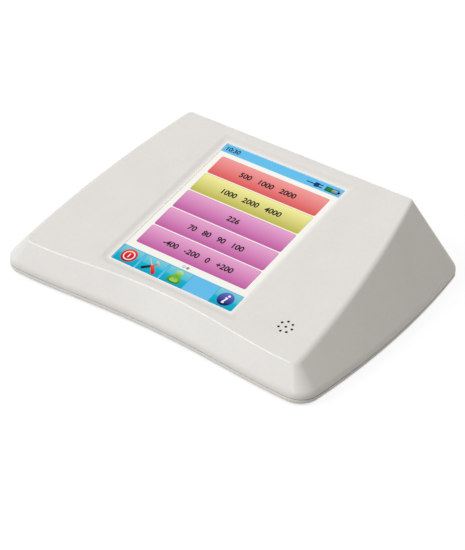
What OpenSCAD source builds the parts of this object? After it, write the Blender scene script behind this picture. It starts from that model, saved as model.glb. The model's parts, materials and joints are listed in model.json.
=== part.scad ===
// Table-top tympanometer: a wedge-shaped housing with a touch display, a loudspeaker,
// circuit boards, a battery, a motor-driven air pump and a row of sockets at the rear.
// Millimetres: X to the right, Y to the rear, Z up, origin on the table under the housing.

/* [Body outline] */
// Width of the base across its front corners
base_w_front = 217; // [212:1:223]
// Width of the base across its rear corners
base_w_rear = 217; // [212:1:223]
// Depth of the base from front to rear
base_depth = 163.5; // [162:0.5:168]
// How far each side of the base bows out
base_bow = 6; // [3:0.5:8]
// How far the front edge of the base arches in at its middle
base_arch = 4.5; // [0:0.5:6]
// Radius of the front corners at the base
front_corner_r = 11; // [9:1:18]
// Radius of the rear corners at the base
rear_corner_r = 7; // [5:1:12]

/* [Control face] */
// Height of the rear ridge above the table
ridge_h = 52; // [51:0.5:57]
// Height of the front crease's corners above the table
crease_h = 22.27; // [21.5:0.1:23]
// Length of the control face along its slope
face_len = 143; // [142:0.5:146]
// Width of the control face at the front crease
face_w_front = 195; // [191:1:199]
// Width of the control face at the ridge
face_w_rear = 164; // [160:1:170]
// How far each side of the face bows out
face_bow = 4.1; // [2:0.1:6]
// How far the front crease arches up the face at its middle
crease_arch = 6.5; // [0:0.5:7]
// Horizontal distance of the ridge from the rear edge of the base
ridge_setback = 16.4; // [15:0.2:18]
// Radius of the front corners of the face
face_front_r = 4.5; // [3:0.5:7]
// Radius of the rear corners of the face
face_rear_r = 2.5; // [2:0.5:5]
// Softness of the face's long edges
side_soft = 2.6; // [1:0.1:3.5]
// Softness of the front crease
crease_soft = 0.8; // [0.5:0.1:2]
// Softness of the rear ridge
ridge_soft = 1.5; // [0.6:0.1:2.4]

/* [Shells] */
// Wall of the upper shell
wall = 2.6; // [2.2:0.1:3]
// Thickness of the base floor
floor_t = 3; // [2.8:0.1:3.2]
// Height of the base above the table
stand = 1.5; // [1:0.1:2.5]
// Height of the base's outer rim
rim_h = 2.7; // [2:0.1:3.5]
// Softness of the rim's lower edge
rim_soft = 0.8; // [0.3:0.1:1.2]
// Height of the groove at the seam
seam_gap = 0.6; // [0.3:0.1:1]
// Depth of the groove at the seam
seam_depth = 0.9; // [0.5:0.1:1.2]
// Height of the upright band above the seam
band_h = 3.8; // [3.2:0.1:5]
// Softness of the roll between band and wall
roll_soft = 2; // [1:0.1:2.4]
// Height of the base's tongue above the seam
tongue_h = 2.8; // [2:0.1:3]
// Thickness of the tongue
tongue_t = 1.5; // [1:0.1:2]
// Clearance between tongue and upper shell
tongue_gap = 0.15; // [0.1:0.05:0.3]

/* [Display] */
// Width of the display's picture
display_w = 86.4; // [82:0.2:88]
// Height of the display's picture
display_h = 115.2; // [110:0.2:117]
// Distance of the picture's centre from the ridge, along the face
display_from_ridge = 70.6; // [70:0.2:71.4]
// Clearance around the picture at the window
window_gap = 0.2; // [0.1:0.1:0.6]
// Width of the dished rim beside the window
rim_side = 4.8; // [3:0.1:6]
// Width of the dished rim above the window
rim_top = 6.8; // [4:0.1:8]
// Width of the dished rim below the window
rim_bottom = 4.8; // [3:0.1:5.5]
// Corner radius of the dished rim
rim_corner_r = 7.5; // [5:0.5:9]
// Depth of the dished rim at the window
rim_depth = 0.9; // [0.6:0.1:1]
// Thickness of the housing at the window's edge
lip_t = 0.6; // [0.5:0.1:0.8]
// Thickness of the foam gasket around the window
gasket_t = 0.2; // [0.2:0.05:0.4]
// Thickness of the touch panel
touch_t = 1.6; // [1.2:0.1:2]
// Thickness of the display module
module_t = 6; // [5:0.1:6.5]
// Border of the display module beside and below the picture
module_side = 4.8; // [3.5:0.1:5]
// Border of the display module above the picture
module_top = 6.9; // [5:0.1:7]
// Thickness of the sheet-metal display carrier
carrier_t = 1; // [0.8:0.1:1.2]
// Distance of the carrier's screws from the picture's centre, sideways
carrier_screw_x = 53.5; // [53:0.5:55]
// Distance of the carrier's screws from the picture's centre, along the face
carrier_screw_v = 50; // [48:0.5:51]
// Width of the flat ribbons
ribbon_w = 20; // [14:1:24]
// Thickness of the flat ribbons
ribbon_t = 0.3; // [0.2:0.05:0.4]

/* [Loudspeaker] */
// Distance of the loudspeaker to the right of the picture's centre
speaker_x = 76.75; // [76:0.25:77.5]
// Distance of the loudspeaker below the picture's centre, along the face
speaker_v = 52; // [51.5:0.25:52.5]
// Radius of the loudspeaker
speaker_r = 11.5; // [10.5:0.1:11.8]
// Depth of the loudspeaker's frame
speaker_t = 4.5; // [4:0.1:5]
// Thickness of the foam ring around the loudspeaker
speaker_seal_t = 0.5; // [0.3:0.1:0.8]
// Radius of the loudspeaker's magnet
magnet_r = 8; // [6.5:0.1:8.2]
// Thickness of the loudspeaker's magnet
magnet_t = 3.5; // [2.5:0.1:4]
// Radius of each sound hole
sound_hole_r = 0.65; // [0.5:0.05:0.9]
// Radius of the ring of sound holes
sound_ring_r = 4.05; // [3.5:0.05:5]
// Number of sound holes in the ring
sound_holes = 7; // [5:1:9]

/* [Boards] */
// Width of the main board
main_board_w = 92; // [91:0.5:93]
// Depth of the main board
main_board_d = 98; // [96.5:0.5:99.5]
// Distance between the main board and the connector board's plug
ribbon_gap = 10; // [9:0.5:10.5]
// Thickness of the boards
board_t = 1.6; // [1.2:0.1:1.8]
// Height of the posts under the main board
board_post_h = 4; // [3.5:0.1:4.5]
// Depth of the audio board
audio_board_d = 52; // [50:0.5:54]
// Height of the spacers between main board and audio board
spacer_h = 8.4; // [8:0.1:9]
// Distance of the board screws from the board edges
board_screw_in = 4; // [3.8:0.1:5]
// Radius of the clock cell
clock_cell_r = 10; // [8:0.5:11]
// Thickness of the clock cell
clock_cell_t = 3.2; // [2:0.1:3.4]

/* [Battery] */
// Radius of a battery cell
cell_r = 9.1; // [8.8:0.05:9.2]
// Length of a battery cell
cell_l = 65.2; // [62:0.2:66]
// Thickness of the battery sleeve
sleeve_t = 0.3; // [0.2:0.05:0.4]
// Clearance between the battery bay and the side wall
bay_side_gap = 0.55; // [0.3:0.05:1]
// Clearance between the battery bay and the housing above it
bay_roof_gap = 1.41; // [1:0.1:1.9]
// Distance of the battery bay behind the front case screws
bay_start = 16.1; // [14.5:0.2:17.5]
// Wall of the battery bay
bay_wall = 1.6; // [1.2:0.1:1.8]
// Clearance between battery and bay
bay_gap = 0.3; // [0.2:0.05:0.4]
// Thickness of the battery door's outer plate
door_t = 1.6; // [1.5:0.1:1.8]
// Clearance around the battery door
door_gap = 0.2; // [0.15:0.05:0.3]

/* [Rear panel] */
// Width of the recess for the sockets
recess_w = 132; // [128:1:134]
// Bottom of the recess above the table
recess_z = 9.5; // [9:0.1:10]
// Clearance between the top of the rear panel and the leaning rear wall
panel_top_gap = 1.25; // [0.8:0.05:2.5]
// Distance of the rear panel's face from the rear edge of the base
panel_inset = 13.75; // [13:0.25:14]
// Thickness of the rear panel
panel_t = 2.4; // [2:0.1:2.8]
// Height of the sockets' centres above the table
socket_z = 21.5; // [21:0.1:22]
// Distance between the rear panel and the connector board
connector_gap = 10; // [9.5:0.1:10.5]
// Places of the power button, from the middle to the left
button_x = 56; // [55:0.25:57]
// Place of the power inlet, from the middle to the left
power_x = 38; // [37:0.25:39]
// Place of the USB socket, from the middle to the left
usb_x = 20; // [19:0.25:21]
// Place of the first phone socket, from the middle to the left
phone_x = 2; // [1.5:0.25:3]
// Distance between the phone sockets
phone_pitch = 16; // [15:0.25:17]
// Place of the probe socket, from the middle to the right
probe_x = 35; // [34:0.25:36]
// Place of the air outlet, from the middle to the right
air_x = 57; // [56.5:0.25:57.5]
// Radius of the phone sockets' bores
phone_bore_r = 1.8; // [1.6:0.05:2]
// Radius of the probe socket's bore
probe_bore_r = 4.7; // [4:0.1:5]
// Radius of the power inlet's bore
power_bore_r = 2.8; // [2.6:0.1:3.1]
// Radius of the power inlet's pin
power_pin_r = 1; // [0.8:0.05:1.2]
// Radius of the air outlet's stem
air_stem_r = 2.2; // [1.8:0.1:2.5]
// Radius of the power button
button_r = 4.5; // [4:0.1:4.8]
// Travel of the power button
button_travel = 1.2; // [0.8:0.1:1.5]

/* [Air pump] */
// Place of the pump's axis, from the middle to the right
pump_x = 76; // [75.5:0.25:76.5]
// Clearance between the pump's cylinder and the housing above it
pump_roof_gap = 1.27; // [0.8:0.1:1.8]
// Distance between the rear panel and the pump's motor
motor_gap = 7.6; // [6.6:0.25:8.6]
// Length of the motor
motor_l = 16; // [14:0.5:18]
// Radius of the motor
motor_r = 10; // [9:0.1:10.2]
// Length of the bracket between its uprights
bracket_span = 30; // [29.5:0.25:31]
// Thickness of the bracket
bracket_t = 2; // [1.8:0.1:2.2]
// Clearance between the motor and the bracket below it
motor_lift = 0.5; // [0.3:0.1:1]
// Radius of the cylinder's bore
cylinder_bore_r = 7; // [6.5:0.1:7.2]
// Wall of the cylinder
cylinder_wall = 2.5; // [2:0.1:2.6]
// Clearance between piston and cylinder
piston_gap = 0.05; // [0.03:0.01:0.08]
// Length of the piston
piston_l = 6; // [5:0.2:6.4]
// Piston's travel forward from rest
piston_fore = 8; // [7:0.1:8.2]
// Piston's travel backward from rest
piston_aft = 12; // [10:0.1:12.2]
// Radius of the lead screw
lead_screw_r = 1.5; // [1.2:0.1:1.8]
// Running clearance of the lead screw and the guide rod
running_gap = 0.05; // [0.03:0.01:0.08]
// Radius of the guide rod
guide_r = 1.25; // [1:0.05:1.4]
// Height of the guide rod above the pump's axis
guide_h = 8.5; // [8:0.1:8.8]
// Place of the manifold's middle, from the middle of the base to the right
manifold_x = 56; // [55.5:0.1:56.3]
// Length of the manifold
manifold_l = 30; // [26:0.5:32]
// Height of the manifold
manifold_h = 14; // [12:0.5:15]
// Travel of the valve's plunger
valve_travel = 0.8; // [0.4:0.1:1]
// Radius of the air tubes
tube_r = 2.1; // [1.9:0.05:2.2]
// Radius of the nipples inside the air tubes
nipple_r = 1.3; // [1:0.05:1.4]
// Length of tube that is pushed over a nipple
tube_fit = 5.5; // [5:0.1:6]
// How far the tube loops out in front of the cylinder
tube_loop = 16.5; // [15.5:0.5:17]

/* [Fasteners and feet] */
// Distance of the case screws from the sides
case_screw_side = 8.5; // [8:0.25:9.5]
// Distance of the front case screws from the front edge
case_screw_front = 24.75; // [23.75:0.5:25.75]
// Distance of the rear case screws from the rear edge
case_screw_rear = 23.75; // [21.75:0.5:24.75]
// Radius of the case screws
case_screw_r = 1.5; // [1.3:0.05:1.6]
// Radius of the board screws
board_screw_r = 1.25; // [1.1:0.05:1.3]
// Radius of the small screws
small_screw_r = 1; // [0.9:0.05:1.05]
// Clearance of a screw in its hole
screw_gap = 0.1; // [0.08:0.02:0.2]
// Radius of the feet
foot_r = 7; // [5:0.5:8]
// Depth of a foot's pocket in the base
foot_pocket = 0.8; // [0.5:0.1:1]
// Distance of the feet from the sides
foot_side = 22.5; // [20.5:0.5:26.5]
// Distance of the feet from the front and rear edges
foot_end = 19.75; // [17.75:0.5:21.75]

/* [Hidden] */
$fn = 48;
eps = 0.01;

shell_white = [0.89, 0.88, 0.86];
base_white = [0.86, 0.85, 0.83];
board_green = [0.10, 0.38, 0.22];
chip_black = [0.13, 0.13, 0.14];
metal = [0.75, 0.76, 0.78];
brass = [0.80, 0.66, 0.32];
plastic_black = [0.10, 0.10, 0.11];
plastic_grey = [0.62, 0.63, 0.64];
rubber = [0.16, 0.16, 0.17];
foam = [0.22, 0.22, 0.24];

// Levels of the shells
seam_z = stand + rim_h;
band_z = seam_z + band_h;
floor_top = stand + floor_t;
rear_edge_y = base_depth/2;

// Plane of the control face, seen from the picture's centre
face_tilt = asin((ridge_h - crease_h)/face_len);
face_y = rear_edge_y - ridge_setback - display_from_ridge*cos(face_tilt);
face_z = ridge_h - display_from_ridge*sin(face_tilt);
crease_v = display_from_ridge - face_len;
base_arch_half = base_w_front/2 - front_corner_r - 4.5;
crease_arch_half = face_w_front/2 - face_front_r - 3.5;

// Number of steps along each stretch of an outline
front_steps = 12;
corner_steps = 6;
side_steps = 12;
rear_steps = 3;
circle_k = 0.5523;

function unit(v) = v/norm(v);
function arch(x, rise, half) = abs(x) < half ? rise*pow(1 - pow(x/half, 2), 2) : 0;
function bend(a, c, b, t) = a*pow(1 - t, 2) + 2*c*t*(1 - t) + b*t*t;
function cubic(a, b, c, d, t) =
  a*pow(1 - t, 3) + 3*b*t*pow(1 - t, 2) + 3*c*t*t*(1 - t) + d*pow(t, 3);
function corner(a, c, b) = [
  for (i = [0:corner_steps])
    cubic(a, a + (c - a)*circle_k, b + (c - b)*circle_k, b, i/corner_steps)
];
function side_point(wf, wr, d, bow, t) = [wf/2 + (wr - wf)/2*t + 4*bow*t*(1 - t), d*t];

// Right half of an outline from the middle of the front edge to the middle of the rear edge
function half_outline(wf, wr, d, bow, rise, half, rf, rr) =
  let (tf = rf/d, tr = 1 - rr/d, x0 = wf/2 - rf, x1 = wr/2 - rr)
  concat(
    [for (i = [0:front_steps - 1]) let (x = x0*i/front_steps) [x, arch(x, rise, half)]],
    corner([x0, arch(x0, rise, half)], [wf/2, 0], side_point(wf, wr, d, bow, tf)),
    [for (i = [1:side_steps - 1])
      side_point(wf, wr, d, bow, tf + (tr - tf)*i/side_steps)],
    corner(side_point(wf, wr, d, bow, tr), [wr/2, d], [x1, d]),
    [for (i = [1:rear_steps]) [x1*(1 - i/rear_steps), d]]
  );
function mirrored(h) = concat(h, [for (i = [len(h) - 2:-1:1]) [-h[i].x, h[i].y]]);

// Softness of the face's edge at each point of an outline. It eases off along the rear of
// the side, so that the small rear corner keeps a round of its own inside it
half_softness = concat(
  [for (i = [0:front_steps - 1]) crease_soft],
  [for (i = [0:corner_steps]) crease_soft + (side_soft - crease_soft)*i/corner_steps],
  [for (i = [1:side_steps - 1])
    side_soft + (ridge_soft - side_soft)*max(0, (i/side_steps - 0.6)/0.4)],
  [for (i = [0:corner_steps + rear_steps]) ridge_soft]
);
softness = concat(half_softness, [for (i = [len(half_softness) - 2:-1:1]) half_softness[i]]);

// A level ring around the body, moved in from the outer surface
function base_ring(z, inset) = [
  for (p = mirrored(half_outline(
      base_w_front - 2*inset, base_w_rear - 2*inset, base_depth - 2*inset, base_bow, base_arch,
      base_arch_half - inset, max(front_corner_r - inset, 1), max(rear_corner_r - inset, 1))))
    [p.x, p.y - base_depth/2 + inset, z]
];
function face_point(x, v, n) = [
  x,
  face_y + v*cos(face_tilt) - n*sin(face_tilt),
  face_z + v*sin(face_tilt) + n*cos(face_tilt)
];
// A ring around the control face, moved in and sunk below it
function face_ring(sink, inset) = [
  for (p = mirrored(half_outline(
      face_w_front - 2*inset, face_w_rear - 2*inset, face_len - 2*inset, face_bow, crease_arch,
      crease_arch_half - inset, max(face_front_r - inset, 1), max(face_rear_r - inset, 1))))
    face_point(p.x, p.y + crease_v + inset, -sink)
];

face_normal = [0, -sin(face_tilt), cos(face_tilt)];
function inward(ring, i) =
  let (m = len(ring)) unit(cross(face_normal, ring[(i + 1) % m] - ring[(i + m - 1) % m]));

// Rings of the outer surface, from the seam up to the flat of the face
function skin_rings() =
  let (b = base_ring(band_z, 0), t = face_ring(0, 0), m = len(b))
  concat(
    [base_ring(seam_z, seam_depth), base_ring(seam_z + seam_gap, seam_depth),
     base_ring(seam_z + seam_gap, 0.3), base_ring(seam_z + seam_gap + 0.3, 0)],
    [for (k = [0:3]) [for (i = [0:m - 1])
      bend(b[i] - [0, 0, roll_soft], b[i], b[i] + unit(t[i] - b[i])*roll_soft, k/3)]],
    [for (k = [0:4]) [for (i = [0:m - 1])
      bend(t[i] + unit(b[i] - t[i])*softness[i], t[i], t[i] + inward(t, i)*softness[i], k/4)]]
  );

// A closed solid through a stack of rings with the same number of points
module loft(rings) {
  n = len(rings[0]);
  m = len(rings);
  polyhedron(
    points = [for (r = rings) each r],
    faces = concat(
      [[for (i = [0:n - 1]) i]],
      [[for (i = [n - 1:-1:0]) (m - 1)*n + i]],
      [for (k = [0:m - 2], i = [0:n - 1])
        let (a = k*n + i, b = k*n + (i + 1) % n) each [[a, a + n, b + n], [a, b + n, b]]]
    )
  );
}

// Solid bounded by the shell's surface moved in by a depth, open below the seam
module inner_form(depth, z_low) {
  loft([
    base_ring(z_low, depth), base_ring(band_z - 0.25*depth, depth),
    face_ring(depth, 0.58*depth)
  ]);
}

// Underside of the control face at a depth from front to rear
function roof_z(y) = face_z + (y - face_y)*tan(face_tilt) - wall/cos(face_tilt);
// Half of the width between the side walls, at a depth and a height
function inside_x(y, z) =
  let (v = (y - face_y)/cos(face_tilt), i = 0.58*wall, low = band_z - 0.25*wall,
       a = side_point(base_w_front - 2*wall, base_w_rear - 2*wall, base_depth - 2*wall, base_bow,
         (y + base_depth/2 - wall)/(base_depth - 2*wall)).x,
       b = side_point(face_w_front - 2*i, face_w_rear - 2*i, face_len - 2*i, face_bow,
         (v - crease_v - i)/(face_len - 2*i)).x)
  a + (b - a)*(z - low)/(roof_z(y) - low);

module on_face(x, v, n) {
  translate([0, face_y, face_z]) rotate([face_tilt, 0, 0]) translate([x, v, n]) children();
}
module round_rect(w, l, r) {
  square([w - 2*r, l], center = true);
  square([w, l - 2*r], center = true);
  for (x = [-1, 1], y = [-1, 1]) translate([x*(w/2 - r), y*(l/2 - r)]) circle(r);
}
module box_at(low, size) { translate(low) cube(size); }
module ring_tube(r_out, r_in, h) {
  difference() {
    cylinder(r = r_out, h = h);
    translate([0, 0, -1]) cylinder(r = r_in, h = h + 2);
  }
}
// Turns children so that their Z axis runs to the rear
module to_rear(x, y, z) { translate([x, y, z]) rotate([-90, 0, 0]) children(); }

// A screw whose head stands on z = 0 and whose shank runs down
module screw(r, l) {
  difference() {
    union() {
      cylinder(r = 1.9*r, h = 1.1*r);
      translate([0, 0, -l]) cylinder(r = r, h = l + eps);
    }
    for (a = [0, 90]) rotate([0, 0, a])
      translate([-1.1*r, -0.17*r, 0.5*r]) cube([2.2*r, 0.34*r, r]);
  }
}
module hex_nut(flats, r_in, h) {
  difference() {
    cylinder(r = flats/2/cos(30), h = h, $fn = 6);
    translate([0, 0, -1]) cylinder(r = r_in, h = h + 2);
  }
}

// Smooth path through points
function spline_point(p, i, t) =
  let (m = len(p), a = p[max(i - 1, 0)], b = p[i], c = p[i + 1], d = p[min(i + 2, m - 1)])
  0.5*(2*b + (c - a)*t + (2*a - 5*b + 4*c - d)*t*t + (3*b - a - 3*c + d)*t*t*t);
function smooth_path(p, steps) = concat(
  [for (i = [0:len(p) - 2], k = [0:steps - 1]) spline_point(p, i, k/steps)], [p[len(p) - 1]]
);
function path_ring(q, i, r, sides) =
  let (m = len(q), t = unit(q[min(i + 1, m - 1)] - q[max(i - 1, 0)]),
       s = unit(cross(t, [0, 0, 1])), u = cross(s, t))
  [for (k = [0:sides - 1]) q[i] + r*(s*cos(360*k/sides) + u*sin(360*k/sides))];
// Smooth in between, with the first and the last stretch exactly straight
function run(p, steps) = let (m = len(p))
  concat([p[0]], smooth_path([for (i = [1:m - 2]) p[i]], steps), [p[m - 1]]);
module swept(points, r, sides = 8, steps = 3) {
  q = run(points, steps);
  loft([for (i = [len(q) - 1:-1:0]) path_ring(q, i, r, sides)]);
}
module hose(points, r, bore_r) {
  m = len(points);
  longer = [for (i = [0:m - 1])
    i == 0 ? points[0] + unit(points[0] - points[1]) :
    i == m - 1 ? points[m - 1] + unit(points[m - 1] - points[m - 2]) : points[i]];
  difference() {
    swept(points, r);
    swept(longer, bore_r);
  }
}

// Upper shell

liner_wall = 2.2;
panel_y = rear_edge_y - panel_inset;
panel_back = panel_y - panel_t;
rear_lean = ridge_setback/(ridge_h - band_z);
rear_wall_y = wall*norm([1, rear_lean]);
recess_h = band_z + (panel_inset - rear_wall_y)/rear_lean - panel_top_gap - liner_wall - recess_z;
recess_top = recess_z + recess_h;
connector_y = panel_back - connector_gap;
rear_header_l = 4;
main_board_rear = connector_y - board_t - rear_header_l - ribbon_gap;
panel_ear = 8;
panel_screw_x = recess_w/2 + panel_ear - 3;
panel_screw_zs = [recess_z + 3, recess_top - 4];
case_x = base_w_front/2 - case_screw_side;
case_ys = [case_screw_front - base_depth/2, base_depth/2 - case_screw_rear];
case_at = [for (x = [-1, 1], y = case_ys) [x*case_x, y]];
case_post_top = floor_top + 4.5;
insert_r = 2.3;
insert_l = 5;

n_lip = -(rim_depth + lip_t);
n_gasket = n_lip - gasket_t;
n_touch = n_gasket - touch_t;
n_module = n_touch - module_t;
n_carrier = n_module - carrier_t;
window_w = display_w + 2*window_gap;
window_h = display_h + 2*window_gap;
module_w = display_w + 2*module_side + 1;
module_h = display_h + module_side - 0.9 + module_top;
module_v = (module_top - module_side + 0.9)/2;
pocket_gap = 0.3;
carrier_screws = [
  for (x = [-1, 1], v = [-1, 1]) [x*carrier_screw_x, v*carrier_screw_v]
];
speaker_screw_r = speaker_r + 2.6;
n_speaker_back = -wall - speaker_seal_t - speaker_t;

// A ring with round corners on the control face
function rect_ring(w, l, r, v, n) = [
  for (c = [[1, -1, 270], [1, 1, 0], [-1, 1, 90], [-1, -1, 180]], k = [0:6])
    face_point(
      c[0]*(w/2 - r) + r*cos(c[2] + 15*k), v + c[1]*(l/2 - r) + r*sin(c[2] + 15*k), n)
];
// Outline of the dish around the window, at a share of its width from the window's edge outwards
function dish_ring(t, n) =
  rect_ring(
    window_w + 2*(rim_side - window_gap)*t,
    window_h + (rim_top + rim_bottom - 2*window_gap)*t,
    1 + (rim_corner_r - 1)*t, (rim_top - rim_bottom)/2*t, n);
// Window through the wall, opening into its dish
module dished_window() {
  loft(concat(
    [dish_ring(0, -wall - 0.5)],
    [for (t = [0, 0.35, 0.6, 0.8, 1.05]) dish_ring(t, -rim_depth*(1 - t*t))]
  ));
}

module top_housing() {
  color(shell_white) difference() {
    union() {
      difference() {
        loft(skin_rings());
        inner_form(wall, seam_z - 1);
      }
      intersection() {
        inner_form(wall/2, seam_z + 0.5);
        union() {
          box_at([-recess_w/2 - liner_wall, panel_y, recess_z - liner_wall],
            [recess_w + 2*liner_wall, panel_inset, recess_h + 2*liner_wall]);
          for (p = case_at) translate([p.x, p.y, case_post_top]) cylinder(r = 4, h = ridge_h);
          for (x = [-1, 1], z = panel_screw_zs) to_rear(x*panel_screw_x, panel_y, z)
            cylinder(r = 3, h = panel_inset);
          for (p = carrier_screws) on_face(p.x, p.y, n_module) cylinder(r = 3, h = -n_module);
          for (x = [-1, 1]) on_face(speaker_x + x*speaker_screw_r, -speaker_v, n_speaker_back)
            cylinder(r = 2.3, h = -n_speaker_back);
        }
      }
    }
    // Recess for the sockets
    box_at([-recess_w/2, panel_y - 1, recess_z], [recess_w, panel_inset + 2, recess_h]);
    // Window with its dished rim, and the pocket behind it
    dished_window();
    on_face(0, module_v, -wall - 1) linear_extrude(wall + 1 + n_lip)
      round_rect(module_w + 2*pocket_gap, module_h + 2*pocket_gap, 1.2);
    // Sound holes
    on_face(speaker_x, -speaker_v, -wall - 1) {
      cylinder(r = sound_hole_r, h = wall + 2);
      for (i = [0:sound_holes - 1]) rotate([0, 0, 360*i/sound_holes])
        translate([sound_ring_r, 0, 0]) cylinder(r = sound_hole_r, h = wall + 2);
    }
    // Bores for inserts and screws
    for (p = case_at) translate([p.x, p.y, case_post_top - 1]) {
      cylinder(r = insert_r + 0.02, h = insert_l + 1);
      cylinder(r = case_screw_r + screw_gap, h = insert_l + 4);
    }
    for (x = [-1, 1], z = panel_screw_zs) to_rear(x*panel_screw_x, panel_y - 1, z)
      cylinder(r = small_screw_r + screw_gap, h = 5);
    for (p = carrier_screws) on_face(p.x, p.y, n_module - 1)
      cylinder(r = small_screw_r + screw_gap, h = 5);
    for (x = [-1, 1]) on_face(speaker_x + x*speaker_screw_r, -speaker_v, n_speaker_back - 1)
      cylinder(r = small_screw_r + screw_gap, h = 4.5);
  }
}

module case_inserts() {
  color(brass) for (p = case_at) translate([p.x, p.y, case_post_top])
    ring_tube(insert_r, case_screw_r + 0.05, insert_l);
}

// Base

post_r = 3.2;
board_y0 = main_board_rear - main_board_d;
board_z = floor_top + board_post_h;
board_screw_x = main_board_w/2 - board_screw_in;
front_screw_y = board_y0 + board_screw_in;
audio_y0 = main_board_rear - audio_board_d;
audio_screw_ys = [audio_y0 + board_screw_in, main_board_rear - board_screw_in];
audio_z = board_z + board_t + spacer_h;
motor_rear = panel_back - motor_gap;
motor_front = motor_rear - motor_l;
rear_upright_y = motor_front - bracket_t;
front_upright_y = rear_upright_y - bracket_span - bracket_t;
cylinder_floor = 2.5;
cylinder_l = cylinder_floor + 0.5 + piston_fore + piston_l + piston_aft + 1;
cylinder_y0 = front_upright_y - cylinder_l;
pump_z = roof_z(cylinder_y0) - pump_roof_gap - cylinder_bore_r - cylinder_wall;
bracket_z = pump_z - motor_r - motor_lift - bracket_t;
bracket_w = 28;
bracket_y0 = cylinder_y0 + 6;
bracket_screw_l = bracket_t + 2.5;
bracket_screws = [
  for (x = [-1, 1], y = [front_upright_y - 4, rear_upright_y - 5])
    [pump_x + x*(bracket_w/2 - 3.5), y]
];

door_in = 0.3;
pack_half = cell_r + sleeve_t;
bay_w = 4*cell_r + 2*sleeve_t + 2*bay_gap + 0.8;
bay_l = cell_l + 2*sleeve_t + 2;
cell_z = floor_top - door_in + pack_half;
bay_top = cell_z + pack_half + 0.4;
// The bay starts behind the case screws, and where the housing is high enough for it
bay_y0 = max(case_ys[0] + bay_start,
  bay_wall + face_y + (bay_top + bay_wall + bay_roof_gap - roof_z(face_y))/tan(face_tilt));
battery_x = inside_x(bay_y0 - bay_wall, bay_top + bay_wall) - bay_side_gap - bay_wall - bay_w/2;
bay_x0 = -battery_x - bay_w/2;
battery_y = -bay_y0 - bay_l/2;
cell_xs = [-battery_x - cell_r - 0.4, -battery_x + cell_r + 0.4];
door_screw_ys = [bay_y0 - bay_wall - 4.9, bay_y0 + bay_l + bay_wall + 4.9];
door_plate_y0 = door_screw_ys[0] - 4;
door_plate_l = door_screw_ys[1] - door_screw_ys[0] + 8;
door_screw_l = 7;
head_recess = 1.7;
lead_slot_y = bay_y0 + 16.9;
lead_slot_z = cell_z;

feet_at = [
  for (x = [-1, 1], y = [-1, 1]) [x*(base_w_front/2 - foot_side), y*(base_depth/2 - foot_end)]
];

module base_shell() {
  color(base_white) difference() {
    union() {
      difference() {
        union() {
          loft([
            base_ring(stand, rim_soft), base_ring(stand + rim_soft, 0),
            base_ring(seam_z - 0.3, 0), base_ring(seam_z, 0.3)
          ]);
          loft([
            base_ring(stand + rim_soft, wall + tongue_gap),
            base_ring(seam_z + tongue_h, wall + tongue_gap)
          ]);
        }
        loft([
          base_ring(floor_top, wall + tongue_gap + tongue_t),
          base_ring(band_z + 1, wall + tongue_gap + tongue_t)
        ]);
      }
      // Posts for the case screws, the boards and the pump
      for (p = case_at) translate([p.x, p.y, stand + 1])
        cylinder(r = 4.5, h = case_post_top - stand - 1);
      for (x = [-1, 1], y = concat([front_screw_y], audio_screw_ys))
        translate([x*board_screw_x, y, stand + 1])
          cylinder(r = post_r, h = board_z - stand - 1);
      for (p = bracket_screws) translate([p.x, p.y, stand + 1])
        cylinder(r = post_r, h = bracket_z - stand - 1);
      // Battery bay
      box_at([bay_x0 - bay_wall, bay_y0 - bay_wall, stand + 1],
        [bay_w + 2*bay_wall, bay_l + 2*bay_wall, bay_top + bay_wall - stand - 1]);
      for (y = door_screw_ys) translate([-battery_x, y, stand + 1])
        cylinder(r = post_r, h = door_screw_l + 1.5);
    }
    box_at([bay_x0, bay_y0, stand - 1], [bay_w, bay_l, bay_top - stand + 1]);
    box_at([bay_x0 - bay_wall, door_plate_y0, stand - 1],
      [bay_w + 2*bay_wall, door_plate_l, door_t + 1]);
    box_at([bay_x0 + bay_w - 1, lead_slot_y - 2, lead_slot_z - 2], [bay_wall + 2, 4, 4]);
    for (y = door_screw_ys) translate([-battery_x, y, stand - 1])
      cylinder(r = board_screw_r + screw_gap, h = door_screw_l + 1);
    for (p = case_at) translate([p.x, p.y, stand - 1]) {
      cylinder(r = 1.9*case_screw_r + 0.3, h = case_post_top - stand - 2.5);
      cylinder(r = case_screw_r + 0.2, h = case_post_top);
    }
    for (p = feet_at) translate([p.x, p.y, stand - 1])
      cylinder(r = foot_r + 0.1, h = 1 + foot_pocket);
    for (x = [-1, 1], y = concat([front_screw_y], audio_screw_ys))
      translate([x*board_screw_x, y, board_z - 5]) cylinder(r = board_screw_r + screw_gap, h = 6);
    for (p = bracket_screws) translate([p.x, p.y, bracket_z - 3.4])
      cylinder(r = board_screw_r + screw_gap, h = 6);
  }
}

module battery_door() {
  color(base_white) difference() {
    union() {
      box_at([bay_x0 - bay_wall + door_gap, door_plate_y0 + door_gap, stand],
        [bay_w + 2*bay_wall - 2*door_gap, door_plate_l - 2*door_gap, door_t]);
      box_at([bay_x0 + door_gap, bay_y0 + door_gap, stand + door_t - eps],
        [bay_w - 2*door_gap, bay_l - 2*door_gap, floor_t - door_t - door_in]);
    }
    for (y = door_screw_ys) translate([-battery_x, y, stand - 1]) {
      cylinder(r = board_screw_r + 0.2, h = door_t + 2);
      cylinder(r = 1.9*board_screw_r + 0.2, h = 2);
    }
    for (i = [-2:2]) box_at([-battery_x - 9, door_plate_y0 + 13 + 2.4*i, stand - 1],
      [18, 1.1, 1.4]);
  }
}

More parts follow.
